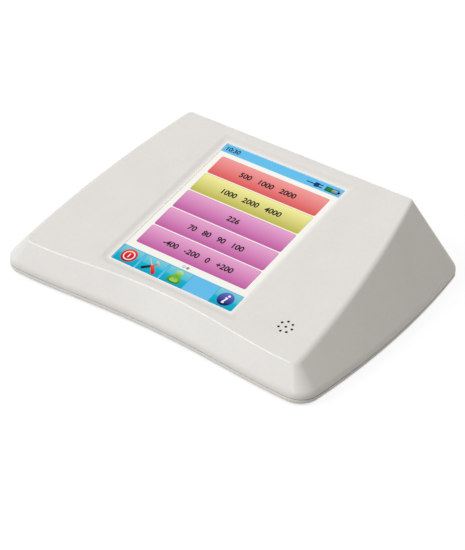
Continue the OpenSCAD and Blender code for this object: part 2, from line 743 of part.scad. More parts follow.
module case_screws() {
  color(metal) for (p = case_at) translate([p.x, p.y, case_post_top - 3.5])
    mirror([0, 0, 1]) screw(case_screw_r, 3.5 + insert_l);
}
module door_screws() {
  color(metal) for (y = door_screw_ys) translate([-battery_x, y, stand + 1])
    mirror([0, 0, 1]) difference() {
      union() {
        cylinder(r = 1.9*board_screw_r, h = 0.9);
        translate([0, 0, -5]) cylinder(r = board_screw_r, h = 5 + eps);
      }
      translate([-2, -0.25, 0.5]) cube([4, 0.5, 1]);
    }
}
module rubber_feet() {
  color(rubber) for (p = feet_at) translate([p.x, p.y, 0])
    rotate_extrude() polygon([
      [0, 0], [foot_r - 1, 0], [foot_r - 0.3, 0.3], [foot_r, 0.9],
      [foot_r, stand + foot_pocket], [0, stand + foot_pocket]
    ]);
}

// Display

module display_plate(w, h, v, n, t) { on_face(0, v, n) linear_extrude(t) round_rect(w, h, 0.8); }
module display_gasket() {
  color(foam) difference() {
    display_plate(module_w - 0.6, module_h - 0.6, module_v, n_gasket, gasket_t);
    on_face(0, 0, n_gasket - 1) linear_extrude(gasket_t + 2)
      round_rect(window_w + 1.2, window_h + 1.2, 1);
  }
}
module touch_panel() {
  color([0.35, 0.4, 0.42]) display_plate(module_w, module_h, module_v, n_touch, touch_t);
}
module display_module() {
  color([0.78, 0.79, 0.8])
    display_plate(module_w - 0.4, module_h - 0.4, module_v, n_module, module_t);
}
ribbon_slot_v = -20.2;
module display_carrier() {
  color(metal) difference() {
    union() {
      display_plate(module_w - 2, module_h - 2, module_v, n_carrier, carrier_t);
      for (p = carrier_screws) on_face(p.x, p.y, n_carrier) {
        cylinder(r = 3, h = carrier_t);
        translate([p.x > 0 ? -10 : 0, -3, 0]) cube([10, 6, carrier_t]);
      }
    }
    for (p = carrier_screws) on_face(p.x, p.y, n_carrier - 1)
      cylinder(r = small_screw_r + screw_gap, h = carrier_t + 2);
    for (v = [-38, 14, 36]) on_face(0, v, n_carrier - 1)
      linear_extrude(carrier_t + 2) round_rect(56, 12, 3);
    on_face(0, ribbon_slot_v, n_carrier - 1) linear_extrude(carrier_t + 2)
      round_rect(ribbon_w + 4, 5, 1);
  }
}

// A flat ribbon drawn along a curve in the plane of Y and Z
module ribbon(points) {
  q = run(points, 6);
  m = len(q);
  side = [for (i = [0:m - 1])
    let (t = unit(q[min(i + 1, m - 1)] - q[max(i - 1, 0)])) [-t.y, t.x]*ribbon_t/2];
  translate([ribbon_w/2, 0, 0]) rotate([90, 0, -90]) mirror([1, 0, 0])
    linear_extrude(ribbon_w) polygon(concat(
      [for (i = [0:m - 1]) q[i] + side[i]], [for (i = [m - 1:-1:0]) q[i] - side[i]]));
}
header_h = 3.2;
display_header_y = face_point(0, ribbon_slot_v, n_module).y;
display_header_z = board_z + board_t + header_h;
module display_ribbon() {
  top = face_point(0, ribbon_slot_v, n_module).z - 0.1;
  y = display_header_y;
  z = display_header_z;
  color([0.8, 0.55, 0.2]) ribbon([
    [y, z], [y, z + 1.2], [y - 1.6, z + 0.36*(top - z)], [y + 0.9, z + 0.68*(top - z)],
    [y, top - 1.2], [y, top]
  ]);
}
module rear_ribbon() {
  y0 = main_board_rear;
  y1 = connector_y - board_t - rear_header_l;
  z = board_z + board_t + 1.6;
  color([0.8, 0.55, 0.2]) ribbon([
    [y0, z], [y0 + 1, z], [(y0 + y1)/2, z + 1], [y1 - 1, z], [y1, z]
  ]);
}

// Loudspeaker

module speaker_seal() {
  color(foam) on_face(speaker_x, -speaker_v, -wall - speaker_seal_t)
    ring_tube(speaker_r, speaker_r - 4.2, speaker_seal_t);
}
cone_step = 0.7;
speaker_tab_end = speaker_r - 0.4;
module speaker_frame() {
  color(metal) on_face(speaker_x, -speaker_v, n_speaker_back) difference() {
    union() {
      cylinder(r = speaker_r - 1.9, h = speaker_t);
      translate([-2.5, speaker_r - 3, 0.3]) cube([5, speaker_tab_end - speaker_r + 3, 2.2]);
      translate([0, 0, speaker_t - 1.2]) cylinder(r = speaker_r, h = 1.2);
    }
    translate([0, 0, speaker_t - cone_step]) cylinder(r = speaker_r - 2.2, h = 2);
    translate([0, 0, 1]) cylinder(r = speaker_r - 3.3, h = speaker_t);
    translate([0, 0, -1]) cylinder(r = 3.1, h = 4);
    for (a = [45:90:315]) rotate([0, 0, a]) translate([6.3, 0, -1]) cylinder(r = 1.1, h = 3);
  }
}
module speaker_cone() {
  r = speaker_r - 2.25;
  color(chip_black) on_face(speaker_x, -speaker_v, n_speaker_back + speaker_t - cone_step)
    rotate_extrude() polygon([
      [0, -0.1], [1.8, -0.3], [3.3, -1.3], [r - 1.6, 0], [r, 0], [r, 0.3],
      [r - 1.7, 0.3], [3.3, -0.9], [1.8, 0.1], [0, 0.3]
    ]);
}
module speaker_magnet() {
  color([0.3, 0.3, 0.32]) on_face(speaker_x, -speaker_v, n_speaker_back) {
    translate([0, 0, -magnet_t]) cylinder(r = magnet_r, h = magnet_t);
    translate([0, 0, -eps]) cylinder(r = 3, h = 1.8);
  }
}
module speaker_bracket() {
  color(metal) on_face(speaker_x, -speaker_v, n_speaker_back - 1) difference() {
    linear_extrude(1) union() {
      circle(r = speaker_r - 1.6);
      round_rect(2*speaker_screw_r + 5, 5, 2.4);
    }
    translate([0, 0, -1]) cylinder(r = magnet_r + 0.1, h = 3);
    for (x = [-1, 1]) translate([x*speaker_screw_r, 0, -1])
      cylinder(r = small_screw_r + screw_gap, h = 3);
  }
}

// Boards

module board(w, l, t, holes, hole_r) {
  linear_extrude(t) difference() {
    translate([0, l/2]) round_rect(w, l, 1.5);
    for (p = holes) translate(p) circle(r = hole_r);
  }
}
main_holes = [
  for (x = [-1, 1], y = concat([front_screw_y], audio_screw_ys))
    [x*board_screw_x, y - board_y0]
];
audio_holes = [for (x = [-1, 1], y = audio_screw_ys) [x*board_screw_x, y - audio_y0]];
module main_board() {
  color(board_green) translate([0, board_y0, board_z])
    board(main_board_w, main_board_d, board_t, main_holes, board_screw_r + screw_gap);
}
module audio_board() {
  color(board_green) translate([0, audio_y0, audio_z])
    board(main_board_w, audio_board_d, board_t, audio_holes, board_screw_r + screw_gap);
}
// Chips as [x, y from the board's front edge, width, length, height]
main_chips = [
  [-16, 20, 20, 20, 1.6], [8, 14, 12, 9, 1.1], [8, 26, 12, 9, 1.1], [-34, 18, 7, 7, 3.2],
  [-28, 60, 12, 12, 4.5], [-10, 58, 8, 14, 2.5], [10, 62, 10, 10, 1.4], [24, 60, 6, 12, 2],
  [-34, 38, 8, 5, 1.6], [-20, 82, 14, 6, 2.2], [20, 82, 9, 9, 1.4]
];
audio_chips = [
  [-26, 14, 12, 12, 1.4], [-6, 14, 9, 9, 1.2], [12, 14, 7, 10, 1.2], [30, 16, 5, 5, 2],
  [-28, 36, 8, 12, 2], [-8, 38, 14, 8, 1.6], [14, 38, 6, 6, 1.2], [28, 36, 8, 8, 1.8]
];
module chips(list) {
  for (c = list) box_at([c[0] - c[2]/2, c[1] - c[3]/2, 0], [c[2], c[3], c[4]]);
}
module main_board_chips() {
  color(chip_black) translate([0, board_y0, board_z + board_t]) chips(main_chips);
}
module audio_board_chips() {
  color(chip_black) translate([0, audio_y0, audio_z + board_t]) chips(audio_chips);
}
// Plug headers on the main board, and one on the connector board
header_x = main_board_w/2 - 4;
battery_header_y = board_y0 + 34;
speaker_header_y = board_y0 + 14;
motor_header_y = main_board_rear - 18;
lead_header = [6, 8, 4.4];
lead_z = board_z + board_t + lead_header.z/2;
module board_headers() {
  color(plastic_grey) {
    box_at([-ribbon_w/2 - 2, display_header_y - 2, board_z + board_t],
      [ribbon_w + 4, 4, header_h]);
    box_at([-ribbon_w/2 - 2, main_board_rear - 4, board_z + board_t],
      [ribbon_w + 4, 4, header_h]);
    box_at([-ribbon_w/2 - 2, connector_y - board_t - rear_header_l, board_z + board_t],
      [ribbon_w + 4, rear_header_l, header_h]);
    for (p = [[-header_x, battery_header_y], [header_x, speaker_header_y], [header_x, motor_header_y]])
      box_at([p.x - lead_header.x/2, p.y - lead_header.y/2, board_z + board_t], lead_header);
  }
}
clock_at = [27, board_y0 + 18, board_z + board_t];
module clock_cell_holder() {
  color(plastic_black) translate(clock_at) difference() {
    cylinder(r = clock_cell_r + 1.5, h = clock_cell_t + 0.4);
    translate([0, 0, 0.6]) cylinder(r = clock_cell_r + 0.1, h = clock_cell_t + 1);
  }
}
module clock_cell() {
  color(metal) translate([clock_at.x, clock_at.y, clock_at.z + 0.6]) {
    cylinder(r = clock_cell_r, h = clock_cell_t - 0.6);
    translate([0, 0, clock_cell_t - 0.6 - eps]) cylinder(r = clock_cell_r - 1, h = 0.6 + eps);
  }
}
spacer_at = [for (x = [-1, 1], y = audio_screw_ys) [x*board_screw_x, y]];
module board_spacers() {
  color(brass) for (p = spacer_at) translate([p.x, p.y, board_z + board_t]) difference() {
    union() {
      cylinder(r = 2.9, h = spacer_h, $fn = 6);
      translate([0, 0, -board_t - 4]) cylinder(r = board_screw_r, h = board_t + 4 + eps);
    }
    translate([0, 0, spacer_h - 5]) cylinder(r = board_screw_r + screw_gap, h = 6);
  }
}
module board_screws() {
  color(metal) {
    for (x = [-1, 1]) translate([x*board_screw_x, front_screw_y, board_z + board_t])
      screw(board_screw_r, 5.5);
    for (p = spacer_at) translate([p.x, p.y, audio_z + board_t]) screw(board_screw_r, 5.5);
    for (p = bracket_screws) translate([p.x, p.y, bracket_z + bracket_t])
      screw(board_screw_r, bracket_screw_l);
  }
}

// Rear panel, connector board and sockets

connector_w0 = -recess_w/2 + 2;
connector_w1 = air_x - 7;
connector_z0 = recess_z;
connector_h = recess_h - 0.5;
connector_posts = [
  for (x = [-(button_x + power_x)/2, probe_x + 10.5], z = [recess_z + 3, recess_top - 3.5])
    [x, z]
];
phone_xs = [-phone_x, -phone_x + phone_pitch];
small_screw_l = 4.5;
module small_screws() {
  color(metal) {
    for (p = carrier_screws) on_face(p.x, p.y, n_carrier) mirror([0, 0, 1])
      screw(small_screw_r, small_screw_l);
    for (x = [-1, 1]) on_face(speaker_x + x*speaker_screw_r, -speaker_v, n_speaker_back - 1)
      mirror([0, 0, 1]) screw(small_screw_r, small_screw_l);
    for (x = [-1, 1], z = panel_screw_zs) translate([x*panel_screw_x, panel_back, z])
      rotate([90, 0, 0]) screw(small_screw_r, small_screw_l);
    for (p = connector_posts) translate([p.x, connector_y - board_t, p.y])
      rotate([90, 0, 0]) screw(small_screw_r, small_screw_l);
  }
}

nut_t = 2;
probe_flats = 15;
air_flats = 9;
phone_neck_r = 3.4;
phone_body_w = 10;
phone_nut_r = 4.8;
phone_nut_t = 1.4;
phone_out = 2;
power_body_w = 9;
power_out = 1;
socket_body_h = 11;
probe_neck_r = 6.2;
probe_flange_r = 8;
probe_flange_t = 1.6;
probe_out = 3.1;
air_flange_r = 5;
air_flange_t = 1.5;
air_neck_r = 3;
power_neck_r = 4.4;
usb_w = 12;
usb_h = 11;
module rear_panel() {
  z0 = recess_z - liner_wall;
  h = recess_h + 2*liner_wall;
  color(base_white) difference() {
    union() {
      translate([0, panel_y, z0 + h/2]) rotate([90, 0, 0]) linear_extrude(panel_t)
        round_rect(recess_w + 2*panel_ear, h, 2);
      for (p = connector_posts) to_rear(p.x, connector_y, p.y)
        cylinder(r = 2.4, h = connector_gap + 1);
    }
    for (x = [-1, 1], z = panel_screw_zs) to_rear(x*panel_screw_x, panel_back - 1, z)
      cylinder(r = small_screw_r + screw_gap, h = panel_t + 2);
    for (p = connector_posts) to_rear(p.x, connector_y - 1, p.y)
      cylinder(r = small_screw_r + screw_gap, h = 6);
    to_rear(-button_x, panel_back - 1, socket_z) cylinder(r = button_r + 0.3, h = 5);
    to_rear(-power_x, panel_back - 1, socket_z) cylinder(r = power_neck_r + 0.1, h = 5);
    for (x = phone_xs) to_rear(x, panel_back - 1, socket_z)
      cylinder(r = phone_neck_r + 0.1, h = 5);
    to_rear(probe_x, panel_back - 1, socket_z) cylinder(r = probe_neck_r + 0.1, h = 5);
    to_rear(air_x, panel_back - 1, socket_z) cylinder(r = air_neck_r + 0.1, h = 5);
    box_at([-usb_x - usb_w/2 - 0.15, panel_back - 1, socket_z - usb_h/2 - 0.15],
      [usb_w + 0.3, 5, usb_h + 0.3]);
  }
}
module connector_board() {
  color(board_green) difference() {
    box_at([connector_w0, connector_y - board_t, connector_z0],
      [connector_w1 - connector_w0, board_t, connector_h]);
    for (p = connector_posts) to_rear(p.x, connector_y - board_t - 1, p.y)
      cylinder(r = small_screw_r + screw_gap, h = board_t + 2);
  }
}
probe_insert_l = 8.5;
key_w = 1.6;
pin_ring_r = 2.9;
pin_hole_r = 0.5;
module probe_socket() {
  color(metal) to_rear(probe_x, connector_y, socket_z) difference() {
    union() {
      cylinder(r = probe_neck_r, h = connector_gap + panel_t + probe_out);
      translate([0, 0, connector_gap + panel_t]) cylinder(r = probe_flange_r, h = probe_flange_t);
    }
    translate([0, 0, -1]) cylinder(r = probe_bore_r - 0.3, h = connector_gap);
    translate([0, 0, probe_insert_l]) cylinder(r = probe_bore_r, h = connector_gap + panel_t);
    translate([-key_w/2, 0, connector_gap + 1])
      cube([key_w, probe_bore_r + 0.6, panel_t + probe_out]);
  }
}
module probe_socket_insert() {
  color(plastic_black) to_rear(probe_x, connector_y, socket_z) difference() {
    cylinder(r = probe_bore_r - 0.35, h = probe_insert_l);
    translate([0, 0, 2]) cylinder(r = pin_hole_r, h = probe_insert_l);
    for (i = [0:6]) rotate([0, 0, 360*i/7]) translate([pin_ring_r, 0, 2])
      cylinder(r = pin_hole_r, h = probe_insert_l);
  }
}
module probe_socket_nut() {
  color(metal) to_rear(probe_x, panel_back - nut_t, socket_z)
    hex_nut(probe_flats, probe_neck_r + 0.05, nut_t);
}
stem_l = 8.5;
module air_outlet() {
  color(metal) to_rear(air_x, panel_y, socket_z) difference() {
    union() {
      cylinder(r = air_flange_r, h = air_flange_t);
      rotate_extrude() polygon([
        [0, 1], [air_stem_r, 1], [air_stem_r, stem_l - 1.5], [air_stem_r - 0.3, stem_l],
        [0, stem_l]
      ]);
      translate([0, 0, -panel_t - nut_t - 0.4]) cylinder(r = air_neck_r, h = panel_t + nut_t + 1);
      translate([0, 0, -panel_t - nut_t - tube_fit - 0.5]) cylinder(r = nipple_r, h = tube_fit + 0.5);
    }
    translate([0, 0, -panel_t - nut_t - tube_fit - 1])
      cylinder(r = 0.8, h = panel_t + nut_t + tube_fit + stem_l + 2);
  }
}
module air_outlet_nut() {
  color(metal) to_rear(air_x, panel_back - nut_t, socket_z)
    hex_nut(air_flats, air_neck_r + 0.05, nut_t);
}
module phone_sockets() {
  color(plastic_black) for (x = phone_xs) to_rear(x, connector_y, socket_z) difference() {
    union() {
      translate([-phone_body_w/2, -socket_body_h/2, 0])
        cube([phone_body_w, socket_body_h, connector_gap]);
      cylinder(r = phone_neck_r, h = connector_gap + panel_t + phone_out);
    }
    translate([0, 0, 1]) cylinder(r = phone_bore_r, h = connector_gap + panel_t + phone_out);
  }
}
module phone_socket_nuts() {
  color(metal) for (x = phone_xs) to_rear(x, panel_y, socket_z) difference() {
    cylinder(r = phone_nut_r, h = phone_nut_t);
    translate([0, 0, -1]) cylinder(r = phone_neck_r + 0.05, h = phone_nut_t + 2);
    for (a = [0:60:300]) rotate([0, 0, a]) translate([phone_nut_r, 0, 0.5])
      cylinder(r = 0.5, h = phone_nut_t);
  }
}
usb_wall = 0.5;
module usb_shell() {
  color(metal) difference() {
    box_at([-usb_x - usb_w/2, connector_y, socket_z - usb_h/2],
      [usb_w, connector_gap + panel_t + 1, usb_h]);
    box_at([-usb_x - usb_w/2 + usb_wall, connector_y - 1, socket_z - usb_h/2 + usb_wall],
      [usb_w - 2*usb_wall, connector_gap + panel_t + 5, usb_h - 2*usb_wall]);
  }
}
module usb_insert() {
  color(plastic_black) {
    difference() {
      box_at([-usb_x - usb_w/2 + usb_wall, connector_y, socket_z - usb_h/2 + usb_wall],
        [usb_w - 2*usb_wall, connector_gap + panel_t + 0.4, usb_h - 2*usb_wall]);
      translate([-usb_x, connector_y + 2, socket_z]) rotate([-90, 0, 0])
        linear_extrude(20) polygon([
          [-4.25, 3.9], [4.25, 3.9], [4.25, -2.4], [2.8, -3.9], [-2.8, -3.9], [-4.25, -2.4]]);
    }
    box_at([-usb_x - 2.8, connector_y + 1.5, socket_z - 1.6], [5.6, 9.5, 3.2]);
  }
}
module power_inlet() {
  color(plastic_black) to_rear(-power_x, connector_y, socket_z) difference() {
    union() {
      translate([-power_body_w/2, -socket_body_h/2, 0])
        cube([power_body_w, socket_body_h, connector_gap]);
      cylinder(r = power_neck_r, h = connector_gap + panel_t + power_out);
    }
    translate([0, 0, 3]) cylinder(r = power_bore_r, h = connector_gap + panel_t + power_out);
    translate([0, 0, 1]) cylinder(r = power_pin_r + 0.32, h = 3);
  }
}
module power_inlet_pin() {
  color(metal) to_rear(-power_x, connector_y + 1, socket_z) {
    cylinder(r = power_pin_r + 0.3, h = 2);
    translate([0, 0, 2 - eps]) cylinder(r = power_pin_r, h = connector_gap + panel_t - 3 + eps);
  }
}
switch_h = 4.5;
stem_r = 1.9;
module power_switch() {
  color(plastic_black) to_rear(-button_x, connector_y, socket_z) difference() {
    translate([-4, -4, 0]) cube([8, 8, switch_h]);
    translate([0, 0, 1]) cylinder(r = stem_r + running_gap, h = 6);
  }
}
module power_button() {
  color(plastic_grey) to_rear(-button_x, connector_y, socket_z) {
    translate([0, 0, 1.3 + button_travel]) cylinder(r = stem_r, h = 6);
    translate([0, 0, connector_gap - 1.8]) cylinder(r = button_r + 0.9, h = 1.5);
    translate([0, 0, connector_gap - 1]) cylinder(r = button_r, h = panel_t + 2.2);
    translate([0, 0, connector_gap + panel_t + 1.2 - eps])
      cylinder(r1 = button_r, r2 = button_r - 0.5, h = 0.5);
  }
}

// Air pump

upright_top = pump_z + guide_h + guide_r + 1.6;
module pump_bracket() {
  color(metal) difference() {
    union() {
      box_at([pump_x - bracket_w/2, bracket_y0, bracket_z],
        [bracket_w, motor_front - bracket_y0, bracket_t]);
      for (y = [front_upright_y, rear_upright_y])
        box_at([pump_x - 9.5, y, bracket_z], [19, bracket_t, upright_top - bracket_z]);
    }
    for (p = bracket_screws) translate([p.x, p.y, bracket_z - 1])
      cylinder(r = board_screw_r + screw_gap, h = 5);
    to_rear(pump_x, front_upright_y - 1, pump_z) cylinder(r = 4.6, h = 4);
    to_rear(pump_x, rear_upright_y - 1, pump_z) cylinder(r = 3, h = 4);
    for (y = [front_upright_y, rear_upright_y])
      to_rear(pump_x, y - 1, pump_z + guide_h) cylinder(r = guide_r + 0.02, h = 4);
  }
}
module pump_motor() {
  color([0.7, 0.7, 0.72]) difference() {
    union() {
      to_rear(pump_x, motor_front, pump_z) cylinder(r = motor_r, h = motor_l);
      to_rear(pump_x, rear_upright_y, pump_z) cylinder(r = 2.9, h = 3);
    }
    to_rear(pump_x, rear_upright_y - 1, pump_z)
      cylinder(r = lead_screw_r + running_gap, h = motor_l + 10);
  }
}
screw_tip_y = front_upright_y + 4;
module lead_screw() {
  r = lead_screw_r;
  l = motor_rear + 1.5 - screw_tip_y;
  color(metal) to_rear(pump_x, screw_tip_y, pump_z) union() {
    cylinder(r = r, h = l);
    translate([0, 0, l - 1.2]) cylinder(r = r + 1, h = 1.2);
  }
}
piston_front_y = front_upright_y - 1 - piston_aft - piston_l;
carriage_y = front_upright_y + bracket_t + 1 + piston_fore;
carriage_l = 8;
module pump_piston() {
  r = cylinder_bore_r - piston_gap;
  color([0.9, 0.9, 0.88]) difference() {
    union() {
      to_rear(pump_x, piston_front_y, pump_z) cylinder(r = r, h = piston_l);
      to_rear(pump_x, piston_front_y, pump_z)
        cylinder(r = 4, h = carriage_y - piston_front_y + 1);
      box_at([pump_x - 5, carriage_y, pump_z - 5], [10, carriage_l, guide_h + 5 + 3]);
    }
    to_rear(pump_x, piston_front_y + piston_l - 1, pump_z) cylinder(r = 2.2,
      h = carriage_y - piston_front_y - piston_l + 1);
    to_rear(pump_x, piston_front_y + piston_l, pump_z)
      cylinder(r = lead_screw_r + running_gap, h = 60);
    to_rear(pump_x, carriage_y - 1, pump_z + guide_h)
      cylinder(r = guide_r + running_gap, h = carriage_l + 2);
    to_rear(pump_x, piston_front_y + 2, pump_z) ring_tube(r + 1, r - 1.4, 2);
  }
}
module piston_seal() {
  r = cylinder_bore_r - piston_gap;
  color(rubber) to_rear(pump_x, piston_front_y + 2.02, pump_z)
    ring_tube(cylinder_bore_r - 0.02, r - 1.38, 1.96);
}
module pump_cylinder() {
  color([0.75, 0.82, 0.85]) to_rear(pump_x, cylinder_y0, pump_z) difference() {
    union() {
      cylinder(r = cylinder_bore_r + cylinder_wall, h = cylinder_l);
      translate([0, 0, 0.5 - tube_fit]) cylinder(r = nipple_r, h = tube_fit + 0.5);
    }
    translate([0, 0, cylinder_floor]) cylinder(r = cylinder_bore_r, h = cylinder_l);
    translate([0, 0, -6]) cylinder(r = 0.7, h = 10);
  }
}
module guide_rod() {
  color(metal) to_rear(pump_x, front_upright_y, pump_z + guide_h)
    cylinder(r = guide_r, h = rear_upright_y + bracket_t - front_upright_y);
}

// Air manifold, vent valve and pressure sensor

manifold_w = 10;
manifold_y0 = front_upright_y + bracket_t - manifold_l;
manifold_top = floor_top + manifold_h;
port_z = floor_top + 6.5;
valve_y = manifold_y0 + 7;
sensor_y = manifold_y0 + 22;
plunger_r = 1.5;
coil_r = 4.8;
coil_gap = 1.17;
coil_h = roof_z(valve_y - coil_r) - coil_gap - manifold_top;
module manifold_block() {
  color([0.3, 0.34, 0.42]) difference() {
    union() {
      box_at([manifold_x - manifold_w/2, manifold_y0, floor_top],
        [manifold_w, manifold_l, manifold_h]);
      to_rear(manifold_x, manifold_y0 + 0.5 - tube_fit, port_z)
        cylinder(r = nipple_r, h = manifold_l + 2*tube_fit - 1);
    }
    to_rear(manifold_x, manifold_y0 - tube_fit - 1, port_z)
      cylinder(r = 0.7, h = manifold_l + 2*tube_fit + 2);
    translate([manifold_x, valve_y, port_z]) cylinder(r = 0.7, h = 20);
    translate([manifold_x, valve_y, manifold_top - 3]) cylinder(r = plunger_r + running_gap, h = 4);
    translate([manifold_x, sensor_y, port_z]) cylinder(r = 0.7, h = 20);
  }
}
module valve_coil() {
  color([0.55, 0.25, 0.12]) translate([manifold_x, valve_y, manifold_top]) difference() {
    cylinder(r = coil_r, h = coil_h);
    translate([0, 0, -1]) cylinder(r = plunger_r + running_gap, h = coil_h);
  }
}
module valve_plunger() {
  color(metal) translate([manifold_x, valve_y, manifold_top - 3])
    cylinder(r = plunger_r, h = coil_h + 2 - valve_travel - 0.2);
}
module pressure_sensor() {
  color([0.85, 0.84, 0.8]) translate([manifold_x, sensor_y, manifold_top]) {
    translate([-4.5, -5, 0]) cube([9, 10, 5]);
    for (x = [-5.3, 4.5], y = [-3, 0, 3]) translate([x, y - 0.3, 1]) cube([0.8, 0.6, 2.5]);
  }
}

// Air tubes: pump to manifold, and manifold to the outlet

module air_tubes() {
  a = [pump_x, cylinder_y0, pump_z];
  b = [manifold_x, manifold_y0, port_z];
  c = [manifold_x, manifold_y0 + manifold_l, port_z];
  d = [air_x, panel_back - nut_t - 0.4, socket_z];
  color([0.85, 0.88, 0.9]) {
    hose([a, a - [0, tube_fit, 0], a - [0, tube_fit + 2.5, 0],
      [a.x - 3, a.y + 3 - tube_loop, a.z - 2],
      [(a.x + b.x)/2, a.y - tube_loop, (a.z + b.z)/2],
      [b.x + 3, a.y + 3 - tube_loop, b.z + 2],
      [b.x, b.y - tube_fit - 2.5, b.z], b - [0, tube_fit, 0], b], tube_r, nipple_r + 0.25);
    hose([c, c + [0, tube_fit, 0], c + [0, tube_fit + 3.5, 0.4], c + (d - c)*0.5,
      d - [0, tube_fit + 4, 0.4], d - [0, tube_fit, 0], d], tube_r, nipple_r + 0.25);
  }
}

// Battery

module battery_cells() {
  color([0.2, 0.4, 0.6]) for (i = [0, 1]) to_rear(cell_xs[i], -battery_y - cell_l/2, cell_z) {
    cylinder(r = cell_r, h = cell_l - 1.2);
    translate([0, 0, cell_l - 1.2 - eps]) cylinder(r = 4, h = 1.2 + eps);
  }
}
module battery_sleeve() {
  l = cell_l + 0.2;
  color([0.15, 0.3, 0.5]) translate([0, -battery_y - l/2, 0]) difference() {
    union() {
      for (x = cell_xs) to_rear(x, 0, cell_z) cylinder(r = pack_half, h = l);
      box_at([cell_xs[0], 0, cell_z - pack_half], [cell_xs[1] - cell_xs[0], l, 2*pack_half]);
    }
    for (x = cell_xs) to_rear(x, -1, cell_z) cylinder(r = cell_r + 0.05, h = l + 2);
    box_at([cell_xs[0], -1, cell_z - cell_r - 0.05],
      [cell_xs[1] - cell_xs[0], l + 2, 2*cell_r + 0.1]);
  }
}

// Leads from the battery, the loudspeaker and the motor to the main board

lead_r = 0.9;
module internal_leads() {
  edge = header_x + lead_header.x/2;
  sh = [edge, speaker_header_y, lead_z];
  mh = [edge, motor_header_y, lead_z];
  bh = [-edge, battery_header_y, lead_z];
  sv = -speaker_v + speaker_tab_end;
  s = face_point(speaker_x, sv, n_speaker_back + 1.4);
  m = [pump_x - 6, motor_rear, pump_z - 6];
  b = [cell_xs[1] + pack_half, lead_slot_y, lead_slot_z];
  color([0.75, 0.15, 0.12]) {
    swept([s, face_point(speaker_x, sv + 1.2, n_speaker_back + 1.4), s + [-4, 2.2, -1.2],
      [s.x - 13, s.y - 0.5, s.z - 6], [sh.x + 10, sh.y - 1, sh.z + 1.5],
      sh + [2, 0, 0], sh], lead_r, 6, 3);
    swept([m, m + [0, 1, 0], m + [-3.5, 2.6, -0.5], [air_x + 2, m.y - 3, m.z - 1.2],
      [mh.x + 8, m.y - 14, mh.z], [mh.x + 4, mh.y + 4, mh.z], mh + [2, 0, 0], mh],
      lead_r, 6, 3);
    swept([b, b + [2.5, 0, 0], (b + bh)/2, bh - [2.5, 0, 0], bh], lead_r, 6, 3);
  }
}

top_housing();
base_shell();
rear_panel();
case_inserts();
case_screws();
rubber_feet();
battery_door();
door_screws();
display_gasket();
touch_panel();
display_module();
display_carrier();
display_ribbon();
rear_ribbon();
speaker_seal();
speaker_frame();
speaker_cone();
speaker_magnet();
speaker_bracket();
main_board();
main_board_chips();
board_headers();
clock_cell_holder();
clock_cell();
audio_board();
audio_board_chips();
board_spacers();
connector_board();
board_screws();
small_screws();
probe_socket();
probe_socket_insert();
probe_socket_nut();
air_outlet();
air_outlet_nut();
phone_sockets();
phone_socket_nuts();
usb_shell();
usb_insert();
power_inlet();
power_inlet_pin();
power_button();
power_switch();
pump_bracket();
pump_motor();
lead_screw();
pump_piston();
piston_seal();
pump_cylinder();
guide_rod();
manifold_block();
valve_coil();
valve_plunger();
pressure_sensor();
air_tubes();
battery_cells();
battery_sleeve();
internal_leads();
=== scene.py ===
"""Looks of a table-top tympanometer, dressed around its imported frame.

Shapes are worked out in millimetres, in the part's own frame, and turned into metres when a mesh
is made. On the control face, x runs to the right, v up the slope and n out of the face, from the
middle of the picture.
"""

import json
import math

import bmesh
import bpy
import numpy as np
from mathutils import Matrix, Vector

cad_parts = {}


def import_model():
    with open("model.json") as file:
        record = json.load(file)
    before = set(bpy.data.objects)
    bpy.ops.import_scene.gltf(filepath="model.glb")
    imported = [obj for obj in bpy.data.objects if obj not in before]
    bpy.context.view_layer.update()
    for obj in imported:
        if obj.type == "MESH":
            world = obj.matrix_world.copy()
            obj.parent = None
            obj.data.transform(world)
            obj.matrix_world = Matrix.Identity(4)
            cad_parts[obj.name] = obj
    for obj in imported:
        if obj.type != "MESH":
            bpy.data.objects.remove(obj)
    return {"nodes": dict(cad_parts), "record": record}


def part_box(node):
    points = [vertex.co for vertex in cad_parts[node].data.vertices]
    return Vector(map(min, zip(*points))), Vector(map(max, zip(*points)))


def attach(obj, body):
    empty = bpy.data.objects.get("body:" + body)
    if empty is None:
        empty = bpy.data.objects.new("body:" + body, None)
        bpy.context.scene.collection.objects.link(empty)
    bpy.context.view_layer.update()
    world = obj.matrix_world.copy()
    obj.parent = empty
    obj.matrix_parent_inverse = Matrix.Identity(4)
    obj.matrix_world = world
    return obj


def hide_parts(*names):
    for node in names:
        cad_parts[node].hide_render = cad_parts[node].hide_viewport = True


MM = 0.001

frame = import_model()
nodes = frame["nodes"]
slot_of = {part["node"]: part["material_slot"] for part in frame["record"]["subparts"]}
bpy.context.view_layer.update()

# Sizes of the body. The part's source has the same, apart from what follows the photograph more
# closely here: how soft the edges are, the dish, the depth of the seam and the sound holes.
# LOWEST_R is the least that is left of a corner's radius when an outline is drawn inwards.
BASE_FRONT, BASE_REAR, BASE_DEPTH, BASE_BOW, BASE_ARCH = 217, 217, 163.5, 6, 4.5
BASE_FRONT_R, BASE_REAR_R, BASE_ARCH_IN = 11, 7, 4.5
FACE_FRONT, FACE_REAR, FACE_LEN, FACE_BOW, CREASE_ARCH = 195, 164, 143, 4.1, 6.5
FACE_FRONT_R, FACE_REAR_R, FACE_ARCH_IN = 4.5, 2.5, 3.5
RIDGE_H, CREASE_H, RIDGE_SETBACK, DISPLAY_FROM_RIDGE = 52, 22.27, 16.4, 70.6
CREASE_SOFT, SIDE_SOFT, RIDGE_SOFT, ROLL_SOFT, RIM_SOFT = 0.7, 2.4, 1.7, 2, 1.2
WALL, STAND, SEAM_Z, SEAM_GAP, SEAM_DEPTH, BAND_Z, FLOOR_TOP = 2.6, 1.5, 4.2, 0.6, 0.6, 8, 4.5
TONGUE_H, TONGUE_T, TONGUE_GAP = 2.8, 1.5, 0.15
LOWEST_R = 1

